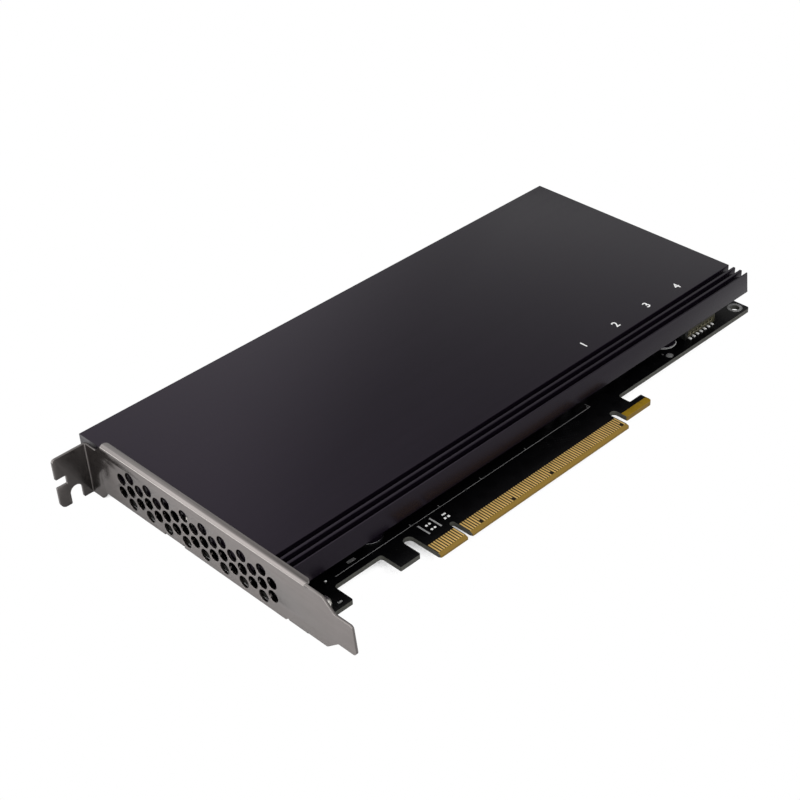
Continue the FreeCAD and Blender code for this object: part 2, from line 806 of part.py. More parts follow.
# ---------------------------------------------------------------- side header
def make_header():
    """Side header: housing with one window for each way in its front face."""
    high_x = header_first_x + (header_pins - 0.5) * header_pitch + header_end_wall
    housing = box((header_low_x, header_front_y, 0), (high_x, header_front_y + header_depth, header_height))
    windows = []
    half = header_window_width / 2
    for i in range(header_pins):
        x = header_first_x + i * header_pitch
        low = (x - half, header_front_y, header_window_low_z)
        high = (x + half, header_front_y + header_window_depth, header_window_low_z + header_window_height)
        windows.append(box(low, high))
    return housing.cut(windows)


def make_header_tails():
    tails = []
    for i in range(header_pins):
        x = header_first_x + i * header_pitch
        low = (x - header_tail_width / 2, header_front_y - header_tail_length, contact_thickness)
        high = (x + header_tail_width / 2, header_front_y, header_tail_height)
        tails.append(box(low, high))
    return tails


# ---------------------------------------------------------------- power parts
def make_inductors():
    half = inductor_side / 2
    solids = []
    for x in inductor_places_x:
        corners = [
            (x - half, power_row_y - half, inductor_corner),
            (x + half, power_row_y - half, inductor_corner),
            (x + half, power_row_y + half, inductor_corner),
            (x - half, power_row_y + half, inductor_corner),
        ]
        solids.append(flat_plate(corners, 0, inductor_height))
    return solids


def make_can_bases():
    return [block(x, power_row_y, 0, (can_base_side, can_base_side, can_base_height)) for x in can_places_x]


def make_cans():
    solids = []
    for x in can_places_x:
        can = post(x, power_row_y, can_base_height, can_radius, can_height - can_base_height)
        rim = [edge for edge in can.Edges if edge.BoundBox.ZMin > can_height - 0.01]
        solids.append(can.makeFillet(can_rim_radius, rim))
    return solids


def make_regulators():
    size = (regulator_side, regulator_side, regulator_height)
    return [block(x, power_row_y, 0, size) for x in regulator_places_x]


def make_load_switches():
    """One load switch beside each socket, in the gap between the two drive rows."""
    middle_y = sum(drive_row_centres_y) / 2
    solids = []
    for mouth_x, direction, centre_y in drive_bays():
        side = 1 if centre_y < middle_y else -1
        y = centre_y + side * (drive_width / 2 + load_switch_gap + load_switch_size[1] / 2)
        solids.append(block(mouth_x - direction * socket_depth / 2, y, 0, load_switch_size))
    return solids


# ---------------------------------------------------------------- small parts
def make_memory_chip():
    length, width, height = memory_size
    body = block(chip_centre_x, memory_y, memory_body_lift, (length, width, height - memory_body_lift))
    legs = [body]
    for i in range(memory_lead_count):
        x = chip_centre_x + (i - (memory_lead_count - 1) / 2) * memory_lead_pitch
        size = (memory_lead_width, width + 2 * memory_lead_reach, memory_lead_thickness)
        legs.append(block(x, memory_y, 0, size))
    return fuse_all(legs)


def make_led_row(y, size):
    """One small part for each status lamp, in a row at y."""
    start_x = chip_centre_x - (led_count - 1) / 2 * led_pitch
    return [block(start_x + i * led_pitch, y, 0, size) for i in range(led_count)]


def make_chip_capacitors():
    """Decoupling capacitors along two sides of the switch chip."""
    solids = []
    reach = substrate_side / 2 + capacitor_chip_gap + chip_capacitor[1] / 2
    for y in (chip_centre_y - reach, chip_centre_y + reach):
        for i in range(capacitors_per_side):
            x = chip_centre_x + (i - (capacitors_per_side - 1) / 2) * capacitor_pitch
            solids.append(block(x, y, 0, chip_capacitor))
    return solids


def make_coupling_capacitors():
    """Two rows of coupling capacitors between the tongue and the switch chip."""
    size = (chip_resistor[1], chip_resistor[0], chip_resistor[2])
    return [block(coupling_start_x + i * coupling_pitch, y, 0, size)
            for y in coupling_row_y for i in range(coupling_count)]


# ---------------------------------------------------------------- build
def main():
    os.makedirs("parts", exist_ok=True)
    save("circuit_board", [make_board()])
    save("component_side_contacts", make_contacts(0))
    save("solder_side_contacts", make_contacts(-board_thickness - contact_thickness))
    save("latch_plating", make_latch_plating())
    save("board_lands", make_lands())
    save("bracket", [make_bracket()])
    save("bracket_screws", make_bracket_screws())
    save("bracket_spacers", make_bracket_spacers())
    save("heatsink_cover", [make_cover()])
    save("cover_screws", make_cover_screws())
    for number, bay in enumerate(drive_bays(), 1):
        save("drive_socket_%d" % number, [make_socket(*bay)])
        save("drive_socket_tails_%d" % number, make_socket_tails(*bay))
        save("drive_pad_%d" % number, [make_drive_pad(*bay)])
    save("drive_standoffs", [make_standoff(*bay) for bay in drive_bays()])
    save("drive_screws", [make_drive_screw(*bay) for bay in drive_bays()])
    save("switch_substrate", [make_chip_layer(0, substrate_side, substrate_thickness)])
    save("switch_lid", [make_chip_layer(substrate_thickness, lid_side, lid_thickness)])
    save("switch_pad", [make_chip_layer(lid_top_z, chip_pad_side, pad_thickness)])
    save("side_header", [make_header()])
    save("side_header_tails", make_header_tails())
    save("power_inductors", make_inductors())
    save("capacitor_bases", make_can_bases())
    save("capacitor_cans", make_cans())
    save("power_regulators", make_regulators())
    save("load_switches", make_load_switches())
    clock_x = chip_centre_x - clock_crystal_pitch
    save("clock_chip", [block(clock_x, clock_y, 0, clock_size)])
    save("clock_crystal", [block(chip_centre_x, clock_y, 0, crystal_size)])
    save("memory_chip", [make_memory_chip()])
    save("status_leds", make_led_row(led_y, led_size))
    save("led_resistors", make_led_row(led_y + led_resistor_pitch, chip_resistor))
    save("chip_capacitors", make_chip_capacitors())
    save("coupling_capacitors", make_coupling_capacitors())


main()
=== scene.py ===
"""Dressed model of a four-drive expansion adapter card with a black heatsink cover."""
import logging
import math
import random
from dataclasses import dataclass
from enum import Enum
from functools import reduce
from typing import Callable, Sequence

import bmesh
import bpy
from mathutils import Matrix, Vector


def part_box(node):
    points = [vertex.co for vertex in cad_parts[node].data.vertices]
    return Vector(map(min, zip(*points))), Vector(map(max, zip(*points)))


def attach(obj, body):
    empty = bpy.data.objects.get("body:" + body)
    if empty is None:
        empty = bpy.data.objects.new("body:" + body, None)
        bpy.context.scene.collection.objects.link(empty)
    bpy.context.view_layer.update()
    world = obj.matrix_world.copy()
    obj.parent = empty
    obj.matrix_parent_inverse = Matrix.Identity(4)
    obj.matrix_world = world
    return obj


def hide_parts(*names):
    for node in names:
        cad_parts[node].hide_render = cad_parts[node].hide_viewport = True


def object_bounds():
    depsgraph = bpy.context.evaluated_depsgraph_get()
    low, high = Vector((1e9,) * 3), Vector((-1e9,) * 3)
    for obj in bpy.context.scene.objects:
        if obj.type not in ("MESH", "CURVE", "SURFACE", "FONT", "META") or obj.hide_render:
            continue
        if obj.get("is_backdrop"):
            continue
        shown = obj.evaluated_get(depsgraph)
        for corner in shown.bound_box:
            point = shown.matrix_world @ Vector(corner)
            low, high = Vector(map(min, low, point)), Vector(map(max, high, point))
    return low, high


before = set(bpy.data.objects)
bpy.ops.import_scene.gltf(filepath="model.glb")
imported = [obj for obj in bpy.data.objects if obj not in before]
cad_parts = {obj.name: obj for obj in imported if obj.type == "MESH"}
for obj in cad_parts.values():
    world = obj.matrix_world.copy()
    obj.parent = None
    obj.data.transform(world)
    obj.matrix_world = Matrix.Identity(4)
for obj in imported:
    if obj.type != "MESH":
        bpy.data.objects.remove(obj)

logging.basicConfig(level=logging.INFO, format="%(name)s: %(message)s")
LOG = logging.getLogger("adapter_card")

MM = 0.001
ROOT = "root"
SEED = 41
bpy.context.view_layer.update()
DRIVES = range(1, 5)
WELD = 1e-7
BLEND = 1e-5
WHITE = (1.0, 1.0, 1.0, 1.0)

Socket = bpy.types.NodeSocket
Sockets = bpy.types.bpy_prop_collection
Tree = bpy.types.NodeTree
Piece = bpy.types.Object
Shape = bmesh.types.BMesh
Pair = tuple[float, float]
Triple = tuple[float, float, float]
Value = float | int | Sequence[float] | Socket


# ------------ node wiring
class Graph:
    """Shorthand for placing and wiring nodes in one tree."""

    def __init__(self, tree: Tree) -> None:
        """Keep the tree that nodes are added to."""
        self.tree = tree

    def node(self, kind: str, *values: Value, settings: dict[str, object] | None = None,
             **inputs: Value) -> bpy.types.Node:
        """Add a node and fill its inputs.

        Args:
            kind: Node type name, such as ShaderNodeMath.
            *values: Values or sockets of the first inputs, in order.
            settings: Node properties, set before the inputs.
            **inputs: Values or sockets by input name, with _ for a space.

        Returns:
            The new node.
        """
        made = self.tree.nodes.new(kind)
        for key, value in (settings or {}).items():
            setattr(made, key, value)
        for target, value in zip(made.inputs, values):
            self.feed(target, value)
        for key, value in inputs.items():
            self.feed(made.inputs[key.replace("_", " ")], value)
        return made

    def feed(self, target: Socket, value: Value) -> None:
        """Wire a socket into an input, or set the input's own value.

        Args:
            target: The input socket.
            value: A source socket or a plain value.
        """
        if isinstance(value, bpy.types.NodeSocket):
            self.tree.links.new(value, target)
        else:
            target.default_value = value

    def math(self, operation: str, *operands: Value, clamp: bool = False) -> Socket:
        """Return the result of a math node, kept between 0 and 1 by a clamp."""
        return self.node("ShaderNodeMath", *operands, settings={"operation": operation, "use_clamp": clamp}).outputs[0]

    def times(self, *factors: Value, clamp: bool = False) -> Socket:
        """Return the product of all factors."""
        return reduce(lambda first, second: self.math("MULTIPLY", first, second, clamp=clamp), factors)

    def smooth(self, value: Value, low: float, high: float, out_low: float = 0.0, out_high: float = 1.0) -> Socket:
        """Map the range from low to high smoothly onto another."""
        return self.node("ShaderNodeMapRange", value, low, high, out_low, out_high,
                         settings={"interpolation_type": "SMOOTHSTEP"}).outputs[0]

    def between(self, value: Value, low: float, high: float, rim: float) -> Socket:
        """Return 1 between two values and 0 outside, turning over a rim within each end."""
        return self.times(self.smooth(value, low, low + rim), self.smooth(value, high, high - rim))

    def mix(self, mask: Value, first: Value, second: Value) -> Socket:
        """Mix two colours by a mask.

        Args:
            mask: 0 gives the first colour, 1 the second.
            first: First colour.
            second: Second colour.

        Returns:
            The mixed colour.
        """
        made = self.node("ShaderNodeMix", mask, settings={"data_type": "RGBA"})
        self.feed(made.inputs[6], rgba(first))
        self.feed(made.inputs[7], rgba(second))
        return made.outputs[2]

    def vector(self, operation: str, *values: Value, **inputs: Value) -> Sockets:
        """Return the outputs of a vector math node."""
        return self.node("ShaderNodeVectorMath", *values, settings={"operation": operation}, **inputs).outputs

    def scaled(self, colour: Value, tone: Value) -> Socket:
        """Return a colour made lighter or darker by a tone."""
        return self.vector("SCALE", colour, Scale=tone)[0]

    def place(self) -> Socket:
        """Return the position on the part, in metres."""
        return self.node("ShaderNodeTexCoord").outputs["Object"]

    def stretched(self, by: Value) -> Socket:
        """Return the position with each axis multiplied on its own."""
        return self.vector("MULTIPLY", self.place(), by)[0]

    def geometry(self, name: str) -> Socket:
        """Return one value of the surface, such as its normal."""
        return self.node("ShaderNodeNewGeometry").outputs[name]

    def axes(self, vector: Value) -> tuple[Socket, ...]:
        """Split a vector into its x, y and z sockets."""
        return tuple(self.node("ShaderNodeSeparateXYZ", vector).outputs)

    def noise(self, scale: Value, detail: float, rough: float = 0.5, at: Socket | None = None) -> Socket:
        """Return noise over the part, or at a position of its own."""
        return self.node("ShaderNodeTexNoise", Vector=self.place() if at is None else at, Scale=scale, Detail=detail,
                         Roughness=rough).outputs[0]

    def cells(self, scale: Value, scatter: float = 1.0) -> Socket:
        """Return the distance to the nearest of many points scattered over the part."""
        return self.node("ShaderNodeTexVoronoi", Vector=self.place(), Scale=scale, Randomness=scatter).outputs[0]

    def group(self, tree: Tree, **inputs: Value) -> Sockets:
        """Place a shared group with its own values and return its outputs."""
        return self.node("ShaderNodeGroup", settings={"node_tree": tree}, **inputs).outputs

    def blend(self, mask: Value, first: Socket, second: Socket) -> Socket:
        """Mix two shaders by a mask."""
        return self.node("ShaderNodeMixShader", mask, first, second).outputs[0]

    def surface(self, relief: Value, normal: Value, strength: float, depth: float, **inputs: Value) -> Socket:
        """Wire a bump with its depth in metres, and a principled shader with its inputs over it."""
        bump = self.node("ShaderNodeBump", Strength=strength, Distance=depth, Height=relief, Normal=normal)
        return self.node("ShaderNodeBsdfPrincipled", Normal=bump.outputs[0], **inputs).outputs[0]


def rgba(colour: Value) -> Value:
    """Return a colour with an alpha where it is a plain triple."""
    return colour if isinstance(colour, bpy.types.NodeSocket) or len(colour) == 4 else (*colour, 1.0)


# ------------ shared node groups
class Kind(Enum):
    """Kind of a group's socket."""

    FLOAT = "NodeSocketFloat"
    VECTOR = "NodeSocketVector"


class SharedGroups:
    """Builds each shared node group once and hands it out by name."""

    def __init__(self) -> None:
        """Start with no groups built."""
        self.made: dict[str, Tree] = {}

    def build(self, name: str, inputs: dict[str, float | Triple], outputs: dict[str, Kind],
              fill: Callable[[Graph, Sockets], list[Socket]]) -> Tree:
        """Build a group on first use and return it afterwards.

        Args:
            name: Group name.
            inputs: Names and own values of the input sockets.
            outputs: Names and kinds of the output sockets.
            fill: Wires the inside and returns what goes to each output.

        Returns:
            The group's tree.
        """
        if name in self.made:
            return self.made[name]
        tree = bpy.data.node_groups.new(name, "ShaderNodeTree")
        for label, default in inputs.items():
            kind = Kind.VECTOR if isinstance(default, tuple) else Kind.FLOAT
            item = tree.interface.new_socket(name=label, in_out="INPUT", socket_type=kind.value)
            item.default_value = default
        for label, kind in outputs.items():
            tree.interface.new_socket(name=label, in_out="OUTPUT", socket_type=kind.value)
        graph = Graph(tree)
        results = fill(graph, graph.node("NodeGroupInput").outputs)
        graph.node("NodeGroupOutput", *results)
        self.made[name] = tree
        return tree

    def grain(self) -> Tree:
        """Return the group of streaks that run along one direction."""
        def fill(g: Graph, given: Sockets) -> list[Socket]:
            """Wire stretched noise in two sizes."""
            at = g.stretched(given["Scale"])
            fine, broad = g.noise(1.0, 3.0, 0.6, at), g.noise(0.17, 2.0, at=at)
            return [g.smooth(g.math("ADD", g.times(fine, 0.65), g.times(broad, 0.35)), 0.3, 0.7)]
        return self.build("lengthwise_grain", {"Scale": (60.0, 4000.0, 4000.0)}, {"Mask": Kind.FLOAT}, fill)

    def edges(self) -> Tree:
        """Return the group that finds worn or polished edges."""
        def fill(g: Graph, given: Sockets) -> list[Socket]:
            """Compare the rounded normal with the true one."""
            rounded = g.node("ShaderNodeBevel", settings={"samples": 4}, Radius=given["Radius"]).outputs[0]
            match = g.vector("DOT_PRODUCT", rounded, g.geometry("Normal"))["Value"]
            broken = g.smooth(g.noise(1400.0, 2.0), 0.3, 0.6, 0.35, 1.0)
            return [g.times(g.smooth(match, 0.995, 0.85), broken, given["Amount"], clamp=True), rounded]
        return self.build("worn_edges", {"Radius": 0.0002, "Amount": 1.0},
                          {"Mask": Kind.FLOAT, "Normal": Kind.VECTOR}, fill)

    def dust(self) -> Tree:
        """Return the group of sparse fine specks: peaks of fine noise, gated by a slow one."""
        return self.build("fine_dust", {"Scale": 2600.0, "Amount": 0.3}, {"Mask": Kind.FLOAT}, lambda g, given: [
            g.times(g.smooth(g.noise(given["Scale"], 1.0), 0.68, 0.8), g.smooth(g.noise(35.0, 2.0), 0.4, 0.65),
                    given["Amount"], clamp=True)])

    def cloud(self) -> Tree:
        """Return the group of slow, soft variation: slow noise scaled between two values."""
        inputs = {"Scale": 20.0, "Low": 0.0, "High": 1.0}
        return self.build("soft_cloud", inputs, {"Value": Kind.FLOAT}, lambda g, given: [
            g.node("ShaderNodeMapRange", g.noise(given["Scale"], 3.0, 0.55), 0.3, 0.7, given["Low"],
                   given["High"]).outputs[0]])

    def skin(self) -> Tree:
        """Return the group of the fine skin left by a mould or a press: pits and fine noise."""
        return self.build("moulded_skin", {"Scale": 5000.0}, {"Height": Kind.FLOAT}, lambda g, given: [
            g.math("ADD", g.times(g.cells(given["Scale"]), 0.5), g.noise(g.times(given["Scale"], 0.6), 2.0))])


GROUPS = SharedGroups()


# ------------ finishes
@dataclass(frozen=True)
class Finish:
    """A finish with a name of its own; each kind wires its own material."""

    name: str

    def material(self) -> bpy.types.Material:
        """Return the finish's material, built on first use."""
        made = bpy.data.materials.get(self.name)
        if made is None:
            made = bpy.data.materials.new(self.name)
            made.use_nodes = True
            made.node_tree.nodes.clear()
            graph = Graph(made.node_tree)
            graph.node("ShaderNodeOutputMaterial", Surface=self.dress(graph))
        return made

    def dress(self, g: Graph) -> Socket:
        """Wire the surface shader in the material's graph."""
        raise NotImplementedError


@dataclass(frozen=True)
class Metal(Finish):
    """Bare, plated or anodised metal with grain and slightly worn edges."""

    colour: Triple
    worn: Triple
    metallic: float = 1.0
    rough: Pair = (0.3, 0.42)
    specular: float = 0.5
    gloss: Triple = (1.0, 1.0, 1.0)
    grain: Triple = (60.0, 4000.0, 4000.0)
    grain_tone: float = 0.12
    grain_depth: float = 0.03
    relief: float = 0.35
    cloud_scale: float = 18.0
    cloud_tone: float = 0.08
    edge_radius: float = 0.00018
    edge_amount: float = 0.5
    dust_amount: float = 0.12
    dust_rough: float = 0.3
    dust_colour: Triple = (0.45, 0.43, 0.4)

    def tint(self, g: Graph, base: Socket) -> Socket:
        """Return the colour as it is; special metals lay more over it."""
        return base

    def dress(self, g: Graph) -> Socket:
        """Wire grain, slow tone, edges and dust into one metal.

        Args:
            g: The material's graph.

        Returns:
            The surface shader.
        """
        grain = g.group(GROUPS.grain(), Scale=self.grain)[0]
        slow = g.group(GROUPS.cloud(), Scale=self.cloud_scale, Low=1.0 - self.cloud_tone,
                       High=1.0 + self.cloud_tone)[0]
        edge = g.group(GROUPS.edges(), Radius=self.edge_radius, Amount=self.edge_amount)
        dust = g.group(GROUPS.dust(), Amount=self.dust_amount)[0]
        tone = g.times(g.smooth(grain, 0.0, 1.0, 1.0 - self.grain_tone, 1.0 + self.grain_tone), slow)
        base = g.mix(edge["Mask"], g.scaled(self.colour, tone), self.worn)
        base = self.tint(g, g.mix(dust, base, self.dust_colour))
        rough = g.math("ADD", g.smooth(grain, 0.0, 1.0, *self.rough), g.times(dust, self.dust_rough), clamp=True)
        return g.surface(grain, edge["Normal"], self.relief, self.grain_depth * MM, Base_Color=base, Roughness=rough,
                         Metallic=self.metallic, Specular_IOR_Level=self.specular, Specular_Tint=rgba(self.gloss))


@dataclass(frozen=True)
class AnodisedExtrusion(Metal):
    """Anodised extrusion whose sawn ends show paler metal, kept dark as painted shade at the bracket end apart from a
    strip at its high-y side, and whose machined feet show paler metal that also paints a highlight along their lower
    rim.
    """

    sawn: Triple = (0.08, 0.078, 0.08)
    saw_marks: Triple = (3000.0, 160.0, 5200.0)
    machined: Triple = (0.62, 0.62, 0.63)
    foot_height: float = 0.0005
    bare_end_depth: float = 0.00935
    bare_blend: float = 0.003
    rear_blend: float = 0.01
    end_facing: Pair = (0.9, 0.97)
    saw_tone: float = 0.55

    def tint(self, g: Graph, base: Socket) -> Socket:
        """Lay the pale sawn metal, the painted shade on the end behind the bracket, and the pale machined feet with
        their painted rim highlight over the anodised colour.

        Args:
            g: The material's graph.
            base: The colour so far.

        Returns:
            The finished colour.
        """
        across = g.axes(g.geometry("True Normal"))[0]
        x, y, z = g.axes(g.place())
        # painted shade: at low x the sawn end keeps the dark anodised colour except in a strip at the high-y side
        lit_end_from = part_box("heatsink_cover")[1].y - self.bare_end_depth
        front = g.smooth(y, lit_end_from, lit_end_from + self.bare_blend)
        bare = g.math("MAXIMUM", g.smooth(x, 0.0, self.rear_blend), front)
        end = g.times(g.smooth(g.math("ABSOLUTE", across), *self.end_facing), bare)
        saw = g.smooth(g.group(GROUPS.grain(), Scale=self.saw_marks)[0], 0.0, 1.0, self.saw_tone, 1.0)
        # the pale machined colour at the feet is partly a painted highlight along the posts' lower rim
        foot = g.smooth(z, self.foot_height, self.foot_height * 0.7)
        return g.mix(foot, g.mix(g.times(end, saw), base, self.sawn), self.machined)


@dataclass(frozen=True)
class FoldedSheet(Metal):
    """Plated sheet with a painted highlight along its folds, painted shade deepening towards its tab, and painted
    shade on faces that do not face along x.
    """

    burnished: Triple = (0.8, 0.76, 0.73)
    fold_lean: float = 0.86
    fold_half: float = 0.06
    deep_from_y: float = 0.055
    deep_to_y: float = 0.115
    deep_tone: float = 0.54
    flat_tone: float = 0.57
    flat_lean: Pair = (0.3, 0.1)
    fold_rise: Pair = (0.2, 0.4)

    def tint(self, g: Graph, base: Socket) -> Socket:
        """Paint shade deepening towards the tab and on faces that do not face along x, and a painted highlight line
        where the sheet turns over.

        Args:
            g: The material's graph.
            base: The colour so far.

        Returns:
            The finished colour.
        """
        # painted highlight: a pale band where the normal leans partway out of the plate, along each fold
        lean, _, rise = (g.math("ABSOLUTE", part) for part in g.axes(g.geometry("Normal")))
        off = g.math("ABSOLUTE", g.math("SUBTRACT", lean, self.fold_lean))
        highlight_band = g.times(g.smooth(off, self.fold_half, 0.0), g.smooth(rise, *self.fold_rise))
        # painted shade: darker towards the tab end, and on faces that do not face along x (flange top, tab, cut edges)
        y = g.axes(g.place())[1]
        tone = g.times(g.smooth(y, self.deep_from_y, self.deep_to_y, 1.0, self.deep_tone),
                       g.smooth(lean, *self.flat_lean, 1.0, self.flat_tone))
        return g.mix(highlight_band, g.scaled(base, tone), self.burnished)


@dataclass(frozen=True)
class ContactPlate(Metal):
    """Gold plate on a row of contact fingers, with a painted highlight along the middle of each and painted shade
    towards its long rims.
    """

    first: float = 0.0015
    pitch: float = 0.001
    middle: float = 0.10
    rim: float = 0.34
    middle_tone: float = 1.45
    rim_tone: float = 0.32

    def tint(self, g: Graph, base: Socket) -> Socket:
        """Paint a highlight along each finger's middle and paint shade towards its long rims.

        Args:
            g: The material's graph.
            base: The colour so far.

        Returns:
            The finished colour.
        """
        # painted highlight and shade across each finger, repeating at the contact pitch
        from_key = g.math("SUBTRACT", g.math("ABSOLUTE", g.axes(g.place())[0]), self.first)
        along = g.math("DIVIDE", from_key, self.pitch)
        off = g.math("ABSOLUTE", g.math("SUBTRACT", along, g.math("ROUND", along)))
        return g.scaled(base, g.smooth(off, self.middle, self.rim, self.middle_tone, self.rim_tone))


@dataclass(frozen=True)
class TinnedLands(Metal):
    """Tinned copper that is bright near the key and darker in some stretches along the board."""

    dull: Triple = (0.05, 0.05, 0.05)
    dull_spans: tuple[Pair, ...] = ((-0.0463, -0.0441), (-0.034, -0.028), (0.100, 0.160))
    dull_blend: float = 1e-4
    stain_scale: float = 1500.0
    stain_low: float = 0.7

    def tint(self, g: Graph, base: Socket) -> Socket:
        """Darken the lands, patchily, in some stretches along the board.

        Args:
            g: The material's graph.
            base: The colour so far.

        Returns:
            The finished colour.
        """
        x = g.axes(g.place())[0]
        patchiness = g.group(GROUPS.cloud(), Scale=self.stain_scale, Low=self.stain_low, High=1.0)[0]
        darkened: Value = 0.0
        # darker in the listed stretches along x
        for start, end in self.dull_spans:
            darkened = g.math("MAXIMUM", darkened, g.between(x, start, end, self.dull_blend))
        return g.mix(g.times(darkened, patchiness), base, self.dull)


@dataclass(frozen=True)
class Moulded(Finish):
    """Moulded, pressed or sintered material with a fine skin, and painted shade below a given x."""

    colour: Triple = (0.02, 0.02, 0.02)
    # edge colour: real wear on most moulded parts, a painted highlight on the header
    rubbed: Triple = (0.08, 0.08, 0.08)
    rough: Pair = (0.5, 0.65)
    specular: float = 0.5
    skin_scale: float = 5000.0
    skin_depth: float = 0.01
    skin_span: Pair = (0.3, 1.2)
    relief: float = 0.4
    tone: float = 0.15
    tone_scale: float = 120.0
    edge_radius: float = 0.0001
    edge_amount: float = 0.4
    dust_amount: float = 0.1
    dust_colour: Triple = (0.4, 0.38, 0.35)
    coat: float = 0.0
    coat_rough: float = 0.12
    shaded: Triple = (0.004, 0.004, 0.003)
    shaded_to_x: float = -1.0
    shade_blend: float = 0.0004

    def dress(self, g: Graph) -> Socket:
        """Wire skin, tone, edges, dust and painted shade below shaded_to_x into one solid material.

        Args:
            g: The material's graph.

        Returns:
            The surface shader.
        """
        slow = g.group(GROUPS.cloud(), Scale=self.tone_scale, Low=1.0 - self.tone, High=1.0 + self.tone)[0]
        edge = g.group(GROUPS.edges(), Radius=self.edge_radius, Amount=self.edge_amount)
        dust = g.group(GROUPS.dust(), Amount=self.dust_amount)[0]
        skin = g.group(GROUPS.skin(), Scale=self.skin_scale)[0]
        # painted shade: below shaded_to_x the colour turns to the shaded tone and loses its edge colour
        unshaded = g.smooth(g.axes(g.place())[0], self.shaded_to_x, self.shaded_to_x + self.shade_blend)
        base = g.mix(g.times(edge["Mask"], unshaded), g.scaled(self.colour, slow), self.rubbed)
        base = g.mix(dust, g.mix(unshaded, self.shaded, base), self.dust_colour)
        return g.surface(skin, edge["Normal"], self.relief, self.skin_depth * MM, Base_Color=base,
                         Roughness=g.smooth(skin, *self.skin_span, *self.rough), Metallic=0.0,
                         Specular_IOR_Level=self.specular, Coat_Weight=self.coat, Coat_Roughness=self.coat_rough)


@dataclass(frozen=True)
class MaskedLaminate(Finish):
    """Black solder mask on glass laminate, bare at the tongue and at cut edges."""

    mask_colour: Triple = (0.0010, 0.0010, 0.0012)
    track_colour: Triple = (0.0024, 0.0024, 0.0028)
    edge_colour: Triple = (0.068, 0.068, 0.06)
    core_colour: Triple = (0.010, 0.0055, 0.001)
    bevel_colour: Triple = (0.175, 0.108, 0.02)
    dust_colour: Triple = (0.12, 0.12, 0.12)
    bare_top_y: float = 0.0058
    bevel_blend: float = 1e-4
    tongue_left_x: float = -0.01225
    tongue_right_x: float = 0.0723
    hidden_edge_depth: float = 0.00045
    hidden_tone: float = 0.12
    mask_rough: float = 0.24
    bare_rough: float = 0.28
    dust_rough: float = 0.3
    specular: float = 0.12
    track_pitch: float = 0.001
    track_rim: Pair = (0.10, 0.16)
    track_patches: float = 260.0
    via_scale: float = 420.0
    via_scatter: float = 0.8
    via_rim: Pair = (0.12, 0.18)
    fan_from_y: float = 0.0086
    fan_lean: float = 0.62
    copper_tone: float = 0.8
    glass_layers: Triple = (900.0, 900.0, 9000.0)
    edge_radius: float = 0.00012
    relief: float = 0.5
    relief_depth: float = 0.02

    def tracks(self, g: Graph) -> Socket:
        """Wire the faint relief of copper tracks and vias under the mask.

        Args:
            g: The material's graph.

        Returns:
            The height socket, 1 on copper and 0 between.
        """
        x, y, _ = g.axes(g.place())
        lean = g.times(g.math("MAXIMUM", g.math("SUBTRACT", y, self.fan_from_y), 0.0), self.fan_lean)
        across = g.math("FRACT", g.times(g.math("ADD", x, lean), 1.0 / self.track_pitch))
        line = g.smooth(g.math("ABSOLUTE", g.math("SUBTRACT", across, 0.5)), *self.track_rim, 1.0, 0.0)
        kept = g.times(line, g.smooth(g.noise(self.track_patches, 0.0), 0.44, 0.48))
        vias = g.smooth(g.cells(self.via_scale, self.via_scatter), *self.via_rim, 1.0, 0.0)
        return g.math("MAXIMUM", kept, g.times(vias, self.copper_tone))

    def dress(self, g: Graph) -> Socket:
        """Wire mask, bare tongue, bevel and cut edge by where the surface lies, with painted shade on the cut edge at
        the board's front end.

        Args:
            g: The material's graph.

        Returns:
            The surface shader.
        """
        x, y, _ = g.axes(g.place())
        _, normal_y, normal_z = g.axes(g.geometry("True Normal"))
        side = g.smooth(g.math("ABSOLUTE", normal_z), 0.7, 0.5)
        slope = g.times(g.smooth(normal_y, -0.1, -0.2),
                        g.smooth(y, self.bare_top_y, self.bare_top_y - self.bevel_blend),
                        g.smooth(x, self.tongue_left_x - BLEND, self.tongue_left_x))
        bare = g.times(g.between(x, self.tongue_left_x, self.tongue_right_x, BLEND),
                       g.smooth(y, self.bare_top_y + BLEND, self.bare_top_y))
        unmasked = g.math("MAXIMUM", side, bare)
        height = self.tracks(g)
        slow = g.group(GROUPS.cloud(), Scale=60.0, Low=0.8, High=1.2)[0]
        strata = g.smooth(g.noise(1.0, 3.0, at=g.stretched(self.glass_layers)), 0.3, 0.7, 0.7, 1.25)
        dust = g.group(GROUPS.dust(), Scale=3200.0, Amount=0.12)[0]
        # painted shade: the cut edge is darkened at the board's front end, behind the bracket
        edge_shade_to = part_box("circuit_board")[0].x + self.hidden_edge_depth
        shown = g.smooth(x, edge_shade_to - self.bevel_blend, edge_shade_to, self.hidden_tone, 1.0)
        masked = g.mix(g.times(height, self.copper_tone), self.mask_colour, self.track_colour)
        base = g.mix(bare, g.mix(dust, masked, self.dust_colour), g.scaled(self.core_colour, slow))
        base = g.mix(side, base, g.scaled(self.edge_colour, g.times(strata, shown)))
        rough = g.math("ADD", self.mask_rough, g.times(unmasked, self.bare_rough))
        edge = g.group(GROUPS.edges(), Radius=self.edge_radius, Amount=0.0)
        return g.surface(g.times(height, g.math("SUBTRACT", 1.0, unmasked)), edge["Normal"], self.relief,
                         self.relief_depth * MM, Base_Color=g.mix(slope, base, self.bevel_colour), Metallic=0.0,
                         Roughness=g.math("ADD", rough, g.times(dust, self.dust_rough), clamp=True),
                         Specular_IOR_Level=self.specular)


